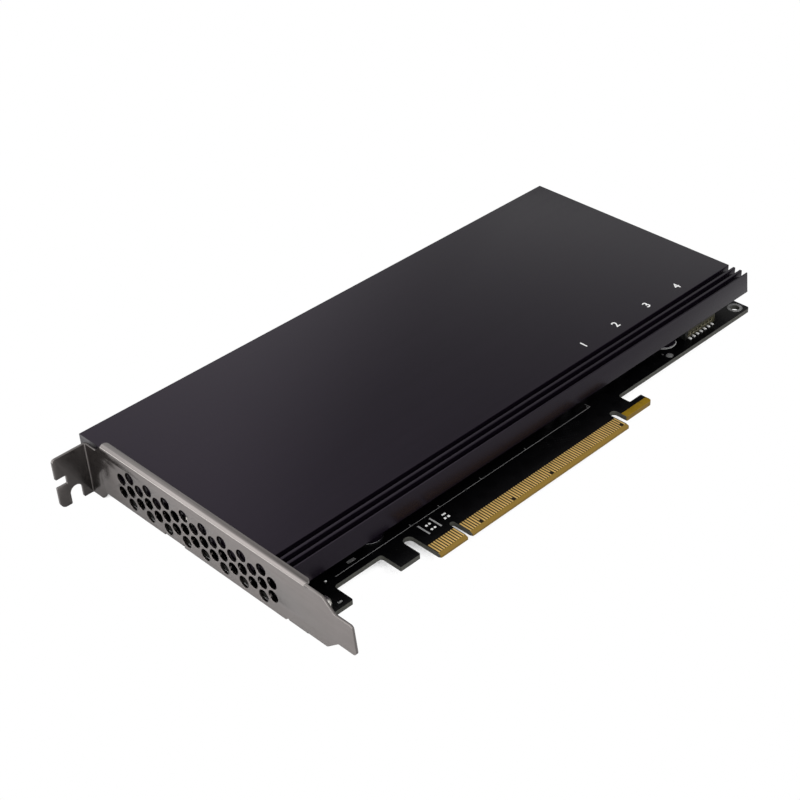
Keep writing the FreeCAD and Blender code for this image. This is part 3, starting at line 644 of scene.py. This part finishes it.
@dataclass(frozen=True)
class StudioFloor(Finish):
    """Pale floor, white to the eye in the open, shaded under the part and clear from below."""

    tone: float = 0.55
    grain_share: float = 0.99
    shade_reach: float = 0.05
    open_from: float = 0.02
    open_to: float = 0.1
    under_inset: Pair = (0.00265, 0.0060)
    under_blend: float = 0.0007

    def dress(self, g: Graph) -> Socket:
        """Wire a pale sheet whose own light fills it in for the eye.

        Args:
            g: The material's graph.

        Returns:
            The surface shader.
        """
        tint = g.mix(g.noise(300.0, 3.0), (self.tone * self.grain_share,) * 3, (self.tone,) * 3)
        matt = g.node("ShaderNodeBsdfDiffuse", Color=tint).outputs[0]
        glow = g.node("ShaderNodeEmission", Strength=1.0, Color=WHITE).outputs[0]
        seen = g.node("ShaderNodeLightPath").outputs["Is Camera Ray"]
        sky = g.node("ShaderNodeAmbientOcclusion", settings={"samples": 8}, Distance=self.shade_reach)
        lift = g.smooth(sky.outputs["AO"], self.open_from, self.open_to)
        low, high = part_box("heatsink_cover")
        under = g.times(*(g.between(place, start + inset - self.under_blend, end - inset, self.under_blend)
                          for place, start, end, inset in
                          zip(g.axes(g.geometry("Position"))[:2], low, high, self.under_inset)))
        both = g.blend(g.times(seen, lift, g.math("SUBTRACT", 1.0, under)), matt, glow)
        return g.blend(g.geometry("Backfacing"), both, g.node("ShaderNodeBsdfTransparent").outputs[0])


class Finishes:
    """Every finish of the card, by the piece that wears it."""

    cover = AnodisedExtrusion("cover_black_anodised", (0.0040, 0.0026, 0.0052), (0.036, 0.032, 0.038), metallic=0.0,
        rough=(0.2, 0.24), specular=0.19, gloss=(1.0, 0.86, 1.08), grain=(45.0, 5200.0, 5200.0), grain_depth=0.003,
        cloud_scale=9.0, cloud_tone=0.06, edge_amount=0.8, dust_amount=0.03)
    bracket = FoldedSheet("bracket_plated_steel", (0.315, 0.289, 0.28), (0.5, 0.48, 0.46), rough=(0.2, 0.27),
        grain=(2600.0, 90.0, 2600.0), grain_tone=0.05, grain_depth=0.01, cloud_scale=30.0, cloud_tone=0.03,
        edge_amount=0.25, dust_amount=0.06)
    gold = ContactPlate("contact_gold_plate", (0.47, 0.31, 0.095), (0.62, 0.46, 0.22), metallic=0.6,
        grain=(2200.0, 300.0, 2200.0), grain_tone=0.08, grain_depth=0.006, cloud_scale=200.0, edge_radius=0.00006,
        edge_amount=0.4, dust_amount=0.05)
    latch = Metal("latch_gold_plate", (0.32, 0.19, 0.006), (0.5, 0.36, 0.06), metallic=0.75,
        grain=(2200.0, 300.0, 2200.0), grain_tone=0.08, grain_depth=0.006, edge_radius=0.00006, edge_amount=0.4,
        dust_amount=0.03)
    lands = TinnedLands("board_tinned_lands", (0.85, 0.85, 0.84), (0.95, 0.95, 0.94), metallic=0.2, rough=(0.3, 0.45),
        grain=(1500.0,) * 3, grain_tone=0.05, edge_amount=0.2, dust_amount=0.02)
    ring = Metal("post_ring_tin", (0.8, 0.8, 0.79), (0.95, 0.95, 0.94), metallic=0.2, rough=(0.3, 0.45),
        grain=(1500.0,) * 3, grain_tone=0.1, edge_amount=0.0, dust_amount=0.02)
    tin = Metal("tinned_copper", (0.70, 0.70, 0.69), (0.85, 0.85, 0.84), rough=(0.22, 0.4), grain=(1500.0,) * 3,
        grain_depth=0.02, edge_radius=0.00008, dust_amount=0.05)
    screw = Metal("screw_nickel_plate", (0.86, 0.83, 0.78), (0.95, 0.93, 0.9), rough=(0.14, 0.22),
        grain=(1800.0,) * 3, grain_tone=0.06, grain_depth=0.008, edge_radius=0.0001, dust_amount=0.05)
    brass = Metal("standoff_brass", (0.62, 0.52, 0.30), (0.8, 0.7, 0.45), rough=(0.2, 0.34),
        grain=(500.0, 500.0, 9000.0), grain_tone=0.1, edge_radius=0.0001)
    can = Metal("can_drawn_aluminium", (0.72, 0.72, 0.73), (0.85, 0.85, 0.86), rough=(0.25, 0.36),
        grain=(300.0, 300.0, 6000.0), grain_tone=0.06, edge_radius=0.00015)
    lid = Metal("chip_lid_nickel", (0.52, 0.52, 0.53), (0.7, 0.7, 0.71), rough=(0.35, 0.45), grain=(2500.0,) * 3,
        grain_tone=0.05, edge_radius=0.0001)
    plastic = Moulded("socket_moulded_black", (0.016, 0.016, 0.017), rough=(0.4, 0.55))
    # The header's cream body is painted dark as shade under the cover, its edges keep pale cream as a painted
    # highlight, and its left end before the first tail is painted shade.
    cream = Moulded("header_cream_nylon", (0.032, 0.029, 0.015), (0.85, 0.78, 0.5), rough=(0.35, 0.5), tone=0.06,
        dust_amount=0.05, edge_radius=0.0002, edge_amount=1.0, shaded_to_x=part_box("side_header")[0].x + 0.0012)
    epoxy = Moulded("chip_moulding_compound", (0.022, 0.022, 0.024), (0.07, 0.07, 0.07), skin_scale=9000.0)
    pad = Moulded("thermal_pad_silicone", (0.26, 0.33, 0.40), (0.34, 0.41, 0.48), rough=(0.6, 0.8), skin_scale=1800.0,
        skin_depth=0.04, edge_amount=0.25)
    laminate = Moulded("chip_green_laminate", (0.02, 0.075, 0.04), (0.05, 0.13, 0.08), rough=(0.3, 0.42),
        skin_scale=2500.0, coat=0.3)
    ferrite = Moulded("inductor_ferrite", (0.085, 0.085, 0.09), (0.16, 0.16, 0.17), rough=(0.55, 0.75),
        skin_scale=4000.0, skin_depth=0.03, tone=0.2)
    ceramic = Moulded("capacitor_tan_ceramic", (0.36, 0.24, 0.13), (0.45, 0.33, 0.2), rough=(0.4, 0.55), tone=0.1)
    lens = Moulded("lamp_white_lens", (0.80, 0.80, 0.72), (0.9, 0.9, 0.86), rough=(0.12, 0.2), skin_depth=0.002,
        tone=0.03, coat=0.4, dust_amount=0.03)
    fibre = Moulded("washer_red_fibre", (0.26, 0.07, 0.04), (0.34, 0.12, 0.08), rough=(0.6, 0.8), skin_scale=3000.0)
    ink = Moulded("board_white_ink", (0.20,) * 3, (0.3,) * 3, skin_scale=7000.0, tone=0.25, edge_amount=0.0)
    print_white = Moulded("cover_white_print", (0.62,) * 3, (0.62,) * 3, rough=(0.45, 0.6), skin_scale=7000.0,
        tone=0.06, edge_amount=0.0, dust_amount=0.02)
    bar_ink = Moulded("bar_white_ink", (0.25,) * 3, (0.4,) * 3, skin_scale=7000.0, tone=0.3, edge_amount=0.0)
    board = MaskedLaminate("board_black_mask")
    floor = StudioFloor("studio_floor")


# ------------ mesh helpers
def wear(piece: Piece, finish: Finish) -> None:
    """Put one finish on an object in place of any other, and report it.

    Args:
        piece: The object.
        finish: What it is finished in.
    """
    piece.data.materials.clear()
    piece.data.materials.append(finish.material())
    LOG.info("%s: %d faces, %s", piece.name, len(piece.data.polygons), finish.name)


def settle(piece: Piece, finish: Finish, stands_for: Sequence[str] = ()) -> Piece:
    """Give a piece its finish, its body and the solids it stands for.

    Args:
        piece: The new object.
        finish: What it is finished in.
        stands_for: CAD nodes that it replaces.

    Returns:
        The same object.
    """
    wear(piece, finish)
    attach(piece, ROOT)
    if stands_for:
        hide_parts(*stands_for)
    return piece


def linked(name: str, data: bpy.types.ID) -> Piece:
    """Put data into the scene as an object.

    Args:
        name: Object name.
        data: Its mesh, curve, lamp or camera.

    Returns:
        The new object.
    """
    made = bpy.data.objects.new(name, data)
    bpy.context.scene.collection.objects.link(made)
    return made


def from_bmesh(name: str, shape: Shape, smooth_angle: float | None = 35.0) -> Piece:
    """Turn a bmesh into an object in the scene.

    Args:
        name: Object name.
        shape: The mesh, freed afterwards.
        smooth_angle: Edges sharper than this many degrees stay sharp; None keeps all soft.

    Returns:
        The new object.
    """
    mesh = bpy.data.meshes.new(name)
    shape.to_mesh(mesh)
    shape.free()
    for polygon in mesh.polygons:
        polygon.use_smooth = True
    if smooth_angle is not None:
        mesh.set_sharp_from_angle(angle=math.radians(smooth_angle))
    return linked(name, mesh)


def baked(piece: Piece) -> bpy.types.Mesh:
    """Return a copy of an object's mesh with its modifiers applied."""
    bpy.context.view_layer.update()
    return bpy.data.meshes.new_from_object(piece.evaluated_get(bpy.context.evaluated_depsgraph_get()))


def add_mesh(shape: Shape, mesh: bpy.types.Mesh, matrix: Matrix) -> None:
    """Move a loose mesh, add it to a shape and remove it.

    Args:
        shape: The mesh that grows.
        mesh: The loose mesh.
        matrix: Where it goes.
    """
    mesh.transform(matrix)
    shape.from_mesh(mesh)
    bpy.data.meshes.remove(mesh)


def welded(node: str) -> Shape:
    """Copy a CAD node's mesh with its split vertices joined.

    Args:
        node: The CAD node.

    Returns:
        The copy.
    """
    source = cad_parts[node]
    shape = bmesh.new()
    shape.from_mesh(source.data)
    bmesh.ops.transform(shape, matrix=source.matrix_world, verts=shape.verts)
    bmesh.ops.remove_doubles(shape, verts=shape.verts, dist=WELD)
    return shape


def softened(node: str, name: str, finish: Finish, slot: str, width: float, segments: int = 2) -> Piece:
    """Build the piece of a CAD node as its own mesh with rounded edges.

    Args:
        node: The CAD node.
        name: Name of the new piece.
        finish: What it is finished in.
        slot: Name of a material slot; not used.
        width: Width of the rounding in metres.
        segments: Faces across the rounding.

    Returns:
        The piece, with the rounding as a modifier.
    """
    flat_angle, sharp_angle = math.radians(0.6), math.radians(38.0)
    shape = welded(node)
    bmesh.ops.dissolve_limit(shape, angle_limit=flat_angle, verts=shape.verts, edges=shape.edges)
    made = from_bmesh(name, shape, None)
    rounding = made.modifiers.new("edge_rounding", "BEVEL")
    rounding.width = width
    rounding.segments = segments
    rounding.limit_method = "ANGLE"
    rounding.angle_limit = sharp_angle
    rounding.harden_normals = True
    return settle(made, finish, [node])


def add_turned(shape: Shape, profile: Sequence[Pair], steps: int, at: Triple = (0.0, 0.0, 0.0),
               closed: bool = False) -> None:
    """Add a profile of (radius, height) points turned about an upright axis.

    Args:
        shape: The mesh that grows.
        profile: Points from the axis at the top to the axis at the bottom, or round a ring's section.
        steps: Faces round the axis.
        at: Where the axis meets height 0.
        closed: Whether the last point joins the first.
    """
    rings: list[list[bmesh.types.BMVert]] = []
    for radius, height in profile:
        turns = [2.0 * math.pi * step / steps for step in range(steps)] if radius > 0.0 else [0.0]
        rings.append([shape.verts.new((at[0] + radius * math.cos(turn), at[1] + radius * math.sin(turn),
                                       at[2] + height)) for turn in turns])
    for upper, lower in zip(rings, rings[1:] + (rings[:1] if closed else [])):
        for step in range(steps):
            following = (step + 1) % steps
            corners = [upper[step % len(upper)], lower[step % len(lower)],
                       lower[following % len(lower)], upper[following % len(upper)]]
            kept = list(dict.fromkeys(corners))
            if len(kept) > 2:
                shape.faces.new(kept)
    bmesh.ops.recalc_face_normals(shape, faces=shape.faces)


def add_block(shape: Shape, low: Sequence[float], high: Sequence[float], bevel: float = 0.0) -> None:
    """Add a block with rounded edges to a mesh.

    Args:
        shape: The mesh that grows.
        low: Lowest corner.
        high: Highest corner.
        bevel: Rounding of all edges.
    """
    centre = [(a + b) / 2 for a, b in zip(low, high)]
    scale = Matrix.Diagonal([*(b - a for a, b in zip(low, high)), 1.0])
    made = bmesh.ops.create_cube(shape, size=1.0, matrix=Matrix.Translation(centre) @ scale)
    if bevel > 0.0:
        edges = {edge for vert in made["verts"] for edge in vert.link_edges}
        bmesh.ops.bevel(shape, geom=list(edges), offset=bevel, segments=2, affect="EDGES", profile=0.6)


def islands(node: str) -> list[tuple[Vector, Vector]]:
    """Return the box of each separate solid of a CAD node, in metres.

    Args:
        node: The CAD node.

    Returns:
        Lowest and highest corner of each solid.
    """
    shape = welded(node)
    shape.verts.ensure_lookup_table()
    seen: set[int] = set()
    found: list[tuple[Vector, Vector]] = []
    for start in shape.verts:
        if start.index in seen:
            continue
        seen.add(start.index)
        queue = [start]
        low, high = start.co.copy(), start.co.copy()
        while queue:
            here = queue.pop()
            low = Vector(map(min, low, here.co))
            high = Vector(map(max, high, here.co))
            for edge in here.link_edges:
                other = edge.other_vert(here)
                if other.index not in seen:
                    seen.add(other.index)
                    queue.append(other)
        found.append((low, high))
    shape.free()
    return found


# ------------ fasteners
class Anchor(Enum):
    """Which way a fastener's head points."""

    UP = 1
    DOWN = -1


@dataclass
class PanScrews:
    """Pan head screws with a cross recess, one for each solid of a CAD node.

    Sizes after steps are shares of the head's radius or height, or of the shank's radius.
    """

    node: str
    name: str
    head_radius: float = 0.0030
    head_height: float = 0.0024
    shank_radius: float = 0.0015
    anchor: Anchor = Anchor.UP
    pitch: float = 0.0005
    steps: int = 40
    dome_steps: int = 6
    dome_start: Pair = (0.45, 0.995)
    dome_reach: Pair = (0.62, 0.36)
    dome_drop: float = 0.55
    rim: tuple[Pair, ...] = ((1.0, 0.35), (1.0, 0.06), (0.97, 0.0))
    thread_root: float = 0.86
    tip: float = 0.7
    arm: Pair = (0.48, 0.11)
    recess_depth: float = 0.62
    recess_flare: float = 1.04
    recess_taper: Pair = (0.42, 0.9)
    sharp_angle: float = 32.0

    def profile(self, length: float) -> list[Pair]:
        """Return the outline of a screw from the crown of its head to its tip.

        Args:
            length: Shank length.

        Returns:
            Points of (radius, height), with the seat at height 0.
        """
        r, h, s = self.head_radius, self.head_height, self.shank_radius
        points = [(0.0, h), (r * self.dome_start[0], h * self.dome_start[1])]
        for part in range(2, self.dome_steps + 1):
            turn = math.radians(90.0 * part / self.dome_steps)
            points.append((r * self.dome_reach[0] + r * self.dome_reach[1] * math.sin(turn),
                           h - h * self.dome_drop * (1 - math.cos(turn))))
        points += [(r * across, h * up) for across, up in self.rim] + [(s, 0.0)]
        depth = 0.0
        while depth + self.pitch < length - self.pitch:
            points.append((s * self.thread_root, -depth - self.pitch * 0.5))
            depth += self.pitch
            points.append((s, -depth))
        return points + [(s * self.tip, -length), (0.0, -length)]

    def cutter(self) -> Piece:
        """Build the cross that cuts the recess.

        Returns:
            The cross as a loose object.
        """
        shape = bmesh.new()
        long, slim = (self.head_radius * share for share in self.arm)
        top, floor = self.head_height * 1.2, self.head_height * (1.0 - self.recess_depth)
        end_taper, side_taper = self.recess_taper
        for along, across in ((long, slim), (slim, long)):
            taper_x, taper_y = (end_taper, side_taper) if along > across else (side_taper, end_taper)
            corners = [(-along, -across), (along, -across), (along, across), (-along, across)]
            verts = [shape.verts.new((x * self.recess_flare, y * self.recess_flare, top)) for x, y in corners]
            verts += [shape.verts.new((x * taper_x, y * taper_y, floor)) for x, y in corners]
            for sides in ((0, 1, 2, 3), (7, 6, 5, 4), (0, 4, 5, 1), (1, 5, 6, 2), (2, 6, 7, 3), (3, 7, 4, 0)):
                shape.faces.new([verts[i] for i in sides])
        bmesh.ops.recalc_face_normals(shape, faces=shape.faces)
        return from_bmesh(self.name + "_cutter", shape)

    def pattern(self, length: float) -> bpy.types.Mesh:
        """Build one screw with its seat at the origin and its head up.

        Args:
            length: Shank length.

        Returns:
            The screw as a loose mesh.
        """
        shape = bmesh.new()
        add_turned(shape, self.profile(length), self.steps)
        blank, cutter = from_bmesh(self.name + "_pattern", shape, self.sharp_angle), self.cutter()
        cut = blank.modifiers.new("recess", "BOOLEAN")
        cut.operation = "DIFFERENCE"
        cut.solver = "EXACT"
        cut.use_self = True
        cut.object = cutter
        done = baked(blank)
        bpy.data.objects.remove(cutter)
        bpy.data.objects.remove(blank)
        return done

    def build(self) -> Piece:
        """Build every screw of the node as one piece.

        Returns:
            The piece.
        """
        rng = random.Random(SEED)
        boxes = islands(self.node)
        pattern = self.pattern(boxes[0][1].z - boxes[0][0].z - self.head_height)
        shape = bmesh.new()
        for low, high in boxes:
            centre = (low + high) / 2
            upright = self.anchor is Anchor.UP
            seat = high.z - self.head_height if upright else low.z + self.head_height
            flip = Matrix.Identity(4) if upright else Matrix.Rotation(math.pi, 4, "X")
            turn = Matrix.Rotation(rng.uniform(0.0, math.pi), 4, "Z")
            add_mesh(shape, pattern.copy(), Matrix.Translation((centre.x, centre.y, seat)) @ flip @ turn)
        made = from_bmesh(self.name, shape, self.sharp_angle)
        return settle(made, Finishes.screw, [self.node])


# ------------ sub-assemblies
@dataclass
class CoverAssembly:
    """Heatsink cover, its pads and the screws that hold it."""

    edge_rounding: float = 0.00014
    pad_rounding: float = 0.00018
    number_size: float = 0.0042
    number_weight: float = 0.012
    number_y: float = 0.0262
    numbers_x: tuple[float, ...] = (0.082, 0.098, 0.114, 0.130)
    number_height: float = 0.00002

    def numbers(self) -> Piece:
        """Print the plain numbers of the four drive bays on the cover's top.

        Returns:
            The piece.
        """
        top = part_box("heatsink_cover")[1].z
        shape = bmesh.new()
        for count, x in zip(DRIVES, self.numbers_x):
            curve = bpy.data.curves.new("bay_number", "FONT")
            curve.body = str(count)
            curve.size = self.number_size
            curve.offset = self.number_size * self.number_weight
            curve.extrude = self.number_height / 2
            curve.align_x = "CENTER"
            glyph = linked("bay_number", curve)
            add_mesh(shape, baked(glyph), Matrix.Translation((x, self.number_y, top + self.number_height / 2)))
            bpy.data.objects.remove(glyph)
            bpy.data.curves.remove(curve)
        return settle(from_bmesh("bay_numbers", shape), Finishes.print_white)

    def build(self) -> None:
        """Build the cover, numbers, pads and screws."""
        softened("heatsink_cover", "cover_extrusion", Finishes.cover, "cover_black", self.edge_rounding)
        self.numbers()
        for node in (*(f"drive_pad_{number}" for number in DRIVES), "switch_pad"):
            softened(node, node + "_sheet", Finishes.pad, "thermal_pad", self.pad_rounding, 3)
        PanScrews("cover_screws", "cover_screw_set", anchor=Anchor.DOWN).build()


@dataclass
class BracketAssembly:
    """Vented bracket with its screws and washers."""

    edge_rounding: float = 0.00012
    washer_rounding: float = 0.00008

    def build(self) -> None:
        """Build the bracket, screws and washers."""
        softened("bracket", "bracket_sheet", Finishes.bracket, "bracket_steel", self.edge_rounding)
        PanScrews("bracket_screws", "bracket_screw_set").build()
        softened("bracket_spacers", "bracket_washers", Finishes.fibre, "spacer_fibre", self.washer_rounding)


@dataclass
class BoardAssembly:
    """Board, contacts, plating, lands and printed marks."""

    ink_height: float = 0.00002
    ring_inner: float = 0.0044
    ring_outer: float = 0.0047
    ring_from_x: float = 0.1
    ring_height: float = 0.00003
    ring_steps: int = 64
    line_width: float = 0.00018
    line_y: float = 0.0155
    line_start_x: float = -0.0390
    line_end_x: float = 0.0712
    line_end_length: float = 0.0022
    tick_length: float = 0.0010
    tick_places_x: tuple[float, ...] = (-0.0089, 0.0031, 0.0210, 0.0410, 0.0706)
    bars: tuple[tuple[float, float, float, float], ...] = ((-0.0080, 0.0090, -0.0074, 0.0141),
                                                           (-0.00315, 0.0090, -0.00255, 0.0141))

    def post_rings(self) -> Piece:
        """Build the tinned rings round the feet of the cover's rear posts.

        Returns:
            The piece.
        """
        shape = bmesh.new()
        section = ((self.ring_inner, 0.0), (self.ring_inner, self.ring_height),
                   (self.ring_outer, self.ring_height), (self.ring_outer, 0.0))
        for low, high in islands("cover_screws"):
            centre = (low + high) / 2
            if centre.x >= self.ring_from_x:
                add_turned(shape, section, self.ring_steps, (centre.x, centre.y, 0.0), closed=True)
        return settle(from_bmesh("post_ring_lands", shape), Finishes.ring)

    def printed(self, name: str, strips: Sequence[Sequence[float]], finish: Finish) -> Piece:
        """Print flat strips on the board.

        Args:
            name: Name of the piece.
            strips: Low x, low y, high x and high y of each strip.
            finish: The ink.

        Returns:
            The piece.
        """
        shape = bmesh.new()
        for low_x, low_y, high_x, high_y in strips:
            add_block(shape, (low_x, low_y, 0.0), (high_x, high_y, self.ink_height))
        return settle(from_bmesh(name, shape), finish)

    def build(self) -> None:
        """Dress the board and build what is printed on it."""
        for node, finish in (("circuit_board", Finishes.board), ("component_side_contacts", Finishes.gold),
                             ("solder_side_contacts", Finishes.gold), ("latch_plating", Finishes.latch),
                             ("board_lands", Finishes.lands)):
            wear(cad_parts[node], finish)
        half, y = self.line_width / 2, self.line_y
        strips = [(self.line_start_x, y - half, self.line_end_x, y + half),
                  (self.line_end_x, y - half, self.line_end_x + self.line_width, y + self.line_end_length)]
        strips += [(x - half, y + half, x + half, y + self.tick_length) for x in self.tick_places_x]
        self.printed("board_printed_bars", self.bars, Finishes.bar_ink)
        self.printed("board_printed_marks", strips, Finishes.ink)
        self.post_rings()


@dataclass
class DriveBays:
    """Four sockets with their contacts and tails, and the posts and screws at the far ends."""

    spring_pitch: float = 0.0005
    spring_width: float = 0.00025
    spring_thickness: float = 0.00012
    spring_count: int = 36
    spring_levels: Pair = (0.00232, 0.00310)
    spring_from: float = 0.0012
    spring_to: float = 0.0048
    socket_rounding: float = 0.0001
    post_rounding: float = 0.00015

    def springs(self, number: int) -> None:
        """Build the contact springs inside one socket.

        Args:
            number: Which socket.
        """
        low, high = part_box(f"drive_socket_{number}")
        tail_low, tail_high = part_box(f"drive_socket_tails_{number}")
        mouth, inward = (low.x, 1.0) if tail_low.x + tail_high.x > low.x + high.x else (high.x, -1.0)
        near, far = sorted((mouth + inward * self.spring_from, mouth + inward * self.spring_to))
        shape = bmesh.new()
        for index in range(self.spring_count):
            y = (low.y + high.y) / 2 + (index - (self.spring_count - 1) / 2) * self.spring_pitch
            for z in (low.z + level for level in self.spring_levels):
                add_block(shape, (near, y - self.spring_width / 2, z),
                          (far, y + self.spring_width / 2, z + self.spring_thickness))
        settle(from_bmesh(f"drive_socket_{number}_springs", shape), Finishes.gold)

    def build(self) -> None:
        """Build the sockets, tails, posts and screws."""
        for number in DRIVES:
            socket = f"drive_socket_{number}"
            softened(socket, socket + "_housing", Finishes.plastic, "socket_plastic", self.socket_rounding)
            wear(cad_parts[f"drive_socket_tails_{number}"], Finishes.tin)
            self.springs(number)
        softened("drive_standoffs", "drive_posts", Finishes.brass, "standoff_brass", self.post_rounding)
        PanScrews("drive_screws", "drive_screw_set", head_radius=0.00225, head_height=0.001, shank_radius=0.001,
                  pitch=0.0004, steps=32).build()


@dataclass
class SwitchChip:
    """Switch chip with its laminate, lid, clock parts, memory and small capacitors."""

    cap_end: float = 0.0003
    small_end: float = 0.0002
    cap_rounding: float = 0.12
    body_shrink: float = 0.05

    def tipped(self, node: str, name: str, finish: Finish, slot: str, end: float) -> None:
        """Build small two-ended parts: a body with a tinned cap on each end.

        Args:
            node: The CAD node with one solid for each part.
            name: Name of the bodies' piece; the caps add a word.
            finish: Finish of the bodies.
            slot: Name of the bodies' material slot; not used.
            end: Length of each cap.
        """
        bodies, caps = bmesh.new(), bmesh.new()
        for low, high in islands(node):
            size = high - low
            axis = 0 if size.x > size.y else 1
            shrink = Vector([min(size) * self.body_shrink] * 3)
            shrink[axis] = end
            add_block(bodies, low + shrink * Vector((1.0, 1.0, 0.0)), high - shrink)
            near_high, far_low = high.copy(), low.copy()
            near_high[axis] = low[axis] + end
            far_low[axis] = high[axis] - end
            add_block(caps, low, near_high, min(size) * self.cap_rounding)
            add_block(caps, far_low, high, min(size) * self.cap_rounding)
        settle(from_bmesh(name, bodies), finish, [node])
        settle(from_bmesh(name + "_ends", caps), Finishes.tin)

    def build(self) -> None:
        """Build the chip and the parts round it."""
        for row in (
            ("switch_substrate", "switch_laminate", Finishes.laminate, "chip_laminate", 0.00012),
            ("switch_lid", "switch_lid_plate", Finishes.lid, "chip_lid", 0.0003),
            ("clock_chip", "clock_body", Finishes.epoxy, "chip_epoxy", 0.0001),
            ("clock_crystal", "clock_can", Finishes.lid, "chip_lid", 0.0002),
            ("memory_chip", "memory_body", Finishes.epoxy, "chip_epoxy", 0.00005),
            ("load_switches", "load_switch_bodies", Finishes.epoxy, "chip_epoxy", 0.0001),
        ):
            softened(*row)
        for row in (
            ("chip_capacitors", "decoupling_capacitors", Finishes.ceramic, "capacitor_ceramic", self.cap_end),
            ("coupling_capacitors", "lane_capacitors", Finishes.ceramic, "capacitor_ceramic", self.small_end),
            ("led_resistors", "lamp_resistors", Finishes.epoxy, "chip_epoxy", self.small_end),
            ("status_leds", "status_lamps", Finishes.lens, "led_lens", self.cap_end),
        ):
            self.tipped(*row)


@dataclass
class PowerParts:
    """Capacitors, inductors and regulators of the drives' supply, and the side header.

    Each row of can_outline is a share of the can's radius, the crimp grooves added to it,
    a share of the height, and the grooves added to that.
    """

    can_groove: float = 0.00025
    can_steps: int = 48
    can_outline: tuple[tuple[float, float, float, float], ...] = (
        (0.0, 0.0, 1.0, -0.4), (0.86, 0.0, 1.0, -0.4), (0.9, 0.0, 1.0, 0.0), (0.97, 0.0, 1.0, -0.3),
        (1.0, 0.0, 1.0, -1.4), (1.0, 0.0, 0.30, 0.0), (1.0, -1.0, 0.26, 0.0), (1.0, -1.0, 0.22, 0.0),
        (1.0, 0.0, 0.18, 0.0), (1.0, 0.0, 0.0, 1.0), (0.96, 0.0, 0.0, 0.0), (0.0, 0.0, 0.0, 0.0))

    def cans(self) -> Piece:
        """Build the capacitor cans with their crimp groove.

        Returns:
            The piece.
        """
        shape, groove = bmesh.new(), self.can_groove
        for low, high in islands("capacitor_cans"):
            radius, height = (high.x - low.x) / 2, high.z - low.z
            profile = [(radius * across + groove * inset, height * up + groove * drop)
                       for across, inset, up, drop in self.can_outline]
            add_turned(shape, profile, self.can_steps, ((low.x + high.x) / 2, (low.y + high.y) / 2, low.z))
        return settle(from_bmesh("capacitor_can_set", shape), Finishes.can, ["capacitor_cans"])

    def build(self) -> None:
        """Build the power parts and the header."""
        self.cans()
        for row in (
            ("capacitor_bases", "capacitor_seats", Finishes.epoxy, "chip_epoxy", 0.0002),
            ("power_inductors", "inductor_blocks", Finishes.ferrite, "inductor_ferrite", 0.0003),
            ("power_regulators", "regulator_bodies", Finishes.epoxy, "chip_epoxy", 0.0001),
            ("side_header", "header_housing", Finishes.cream, "header_cream", 0.0001),
            ("side_header_tails", "header_tails", Finishes.ring, "solder_tin", 0.00012),
        ):
            softened(*row)


# ------------ studio
@dataclass
class Studio:
    """Floor, soft lamp, surround and camera."""

    floor_size: float = 8.0
    floor_gap: float = 0.00002
    near_level: float = 1.6
    far_level: float = 0.42
    level_turn: Pair = (0.25, 0.72)
    lamp_place: Triple = (-0.5, -0.35, 1.1)
    lamp_target: Triple = (0.04, 0.05, 0.0)
    lamp_size: float = 0.9
    lamp_power: float = 2.5
    sensor_width: float = 36.0
    lens: float = 74.108
    shift: Pair = (-0.0407, 0.0569)
    clip: Pair = (0.01, 50.0)
    place: Triple = (-0.260182, -0.255533, 0.307071)
    right: Triple = (0.702438, -0.711003, -0.032498)
    up: Triple = (0.44617, 0.404301, 0.798419)

    def floor(self) -> None:
        """Lay the floor under the lowest point of the part."""
        low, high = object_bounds()
        shape = bmesh.new()
        bmesh.ops.create_grid(shape, x_segments=8, y_segments=8, size=self.floor_size / 2)
        bmesh.ops.translate(shape, verts=shape.verts,
                            vec=((low.x + high.x) / 2, (low.y + high.y) / 2, low.z - self.floor_gap))
        made = from_bmesh("studio_floor", shape)
        made.data.materials.append(Finishes.floor.material())
        made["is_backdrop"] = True

    def lamp(self) -> None:
        """Hang the soft square lamp."""
        data = bpy.data.lights.new("key_lamp", "AREA")
        data.shape = "SQUARE"
        data.size = self.lamp_size
        data.energy = self.lamp_power
        made = linked("key_lamp", data)
        made.location = self.lamp_place
        aim = Vector(self.lamp_target) - Vector(self.lamp_place)
        made.rotation_euler = aim.to_track_quat("-Z", "Y").to_euler()

    def camera(self) -> None:
        """Set the camera at the part's three-quarter view."""
        data = bpy.data.cameras.new("view_camera")
        data.sensor_width = self.sensor_width
        data.sensor_fit = "HORIZONTAL"
        data.lens = self.lens
        data.shift_x, data.shift_y = self.shift
        data.clip_start, data.clip_end = self.clip
        made = linked("view_camera", data)
        right, up = Vector(self.right).normalized(), Vector(self.up).normalized()
        back = right.cross(up).normalized()
        turn = Matrix((right, back.cross(right), back)).transposed().to_4x4()
        made.matrix_world = Matrix.Translation(self.place) @ turn
        bpy.context.scene.camera = made

    def world(self) -> None:
        """Set the plain surround, white to the eye."""
        world = bpy.data.worlds.new("studio_surround")
        world.use_nodes = True
        world.node_tree.nodes.clear()
        g = Graph(world.node_tree)
        x = g.axes(g.node("ShaderNodeTexCoord").outputs["Generated"])[0]
        level = g.smooth(x, *self.level_turn, self.near_level, self.far_level)
        soft, white = (g.node("ShaderNodeBackground", Color=WHITE, Strength=strength).outputs[0]
                       for strength in (level, 1.0))
        seen = g.node("ShaderNodeLightPath").outputs["Is Camera Ray"]
        g.node("ShaderNodeOutputWorld", Surface=g.blend(seen, soft, white))
        bpy.context.scene.world = world

    def build(self) -> None:
        """Build the whole studio."""
        self.floor()
        self.world()
        self.lamp()
        self.camera()
        bpy.context.scene.view_settings.view_transform = "Standard"


def main() -> None:
    """Build every sub-assembly in order, then the studio."""
    for part in (BoardAssembly(), BracketAssembly(), CoverAssembly(), DriveBays(), SwitchChip(), PowerParts()):
        LOG.info("building %s", type(part).__name__)
        part.build()
    Studio().build()


if __name__ == "__main__":
    main()
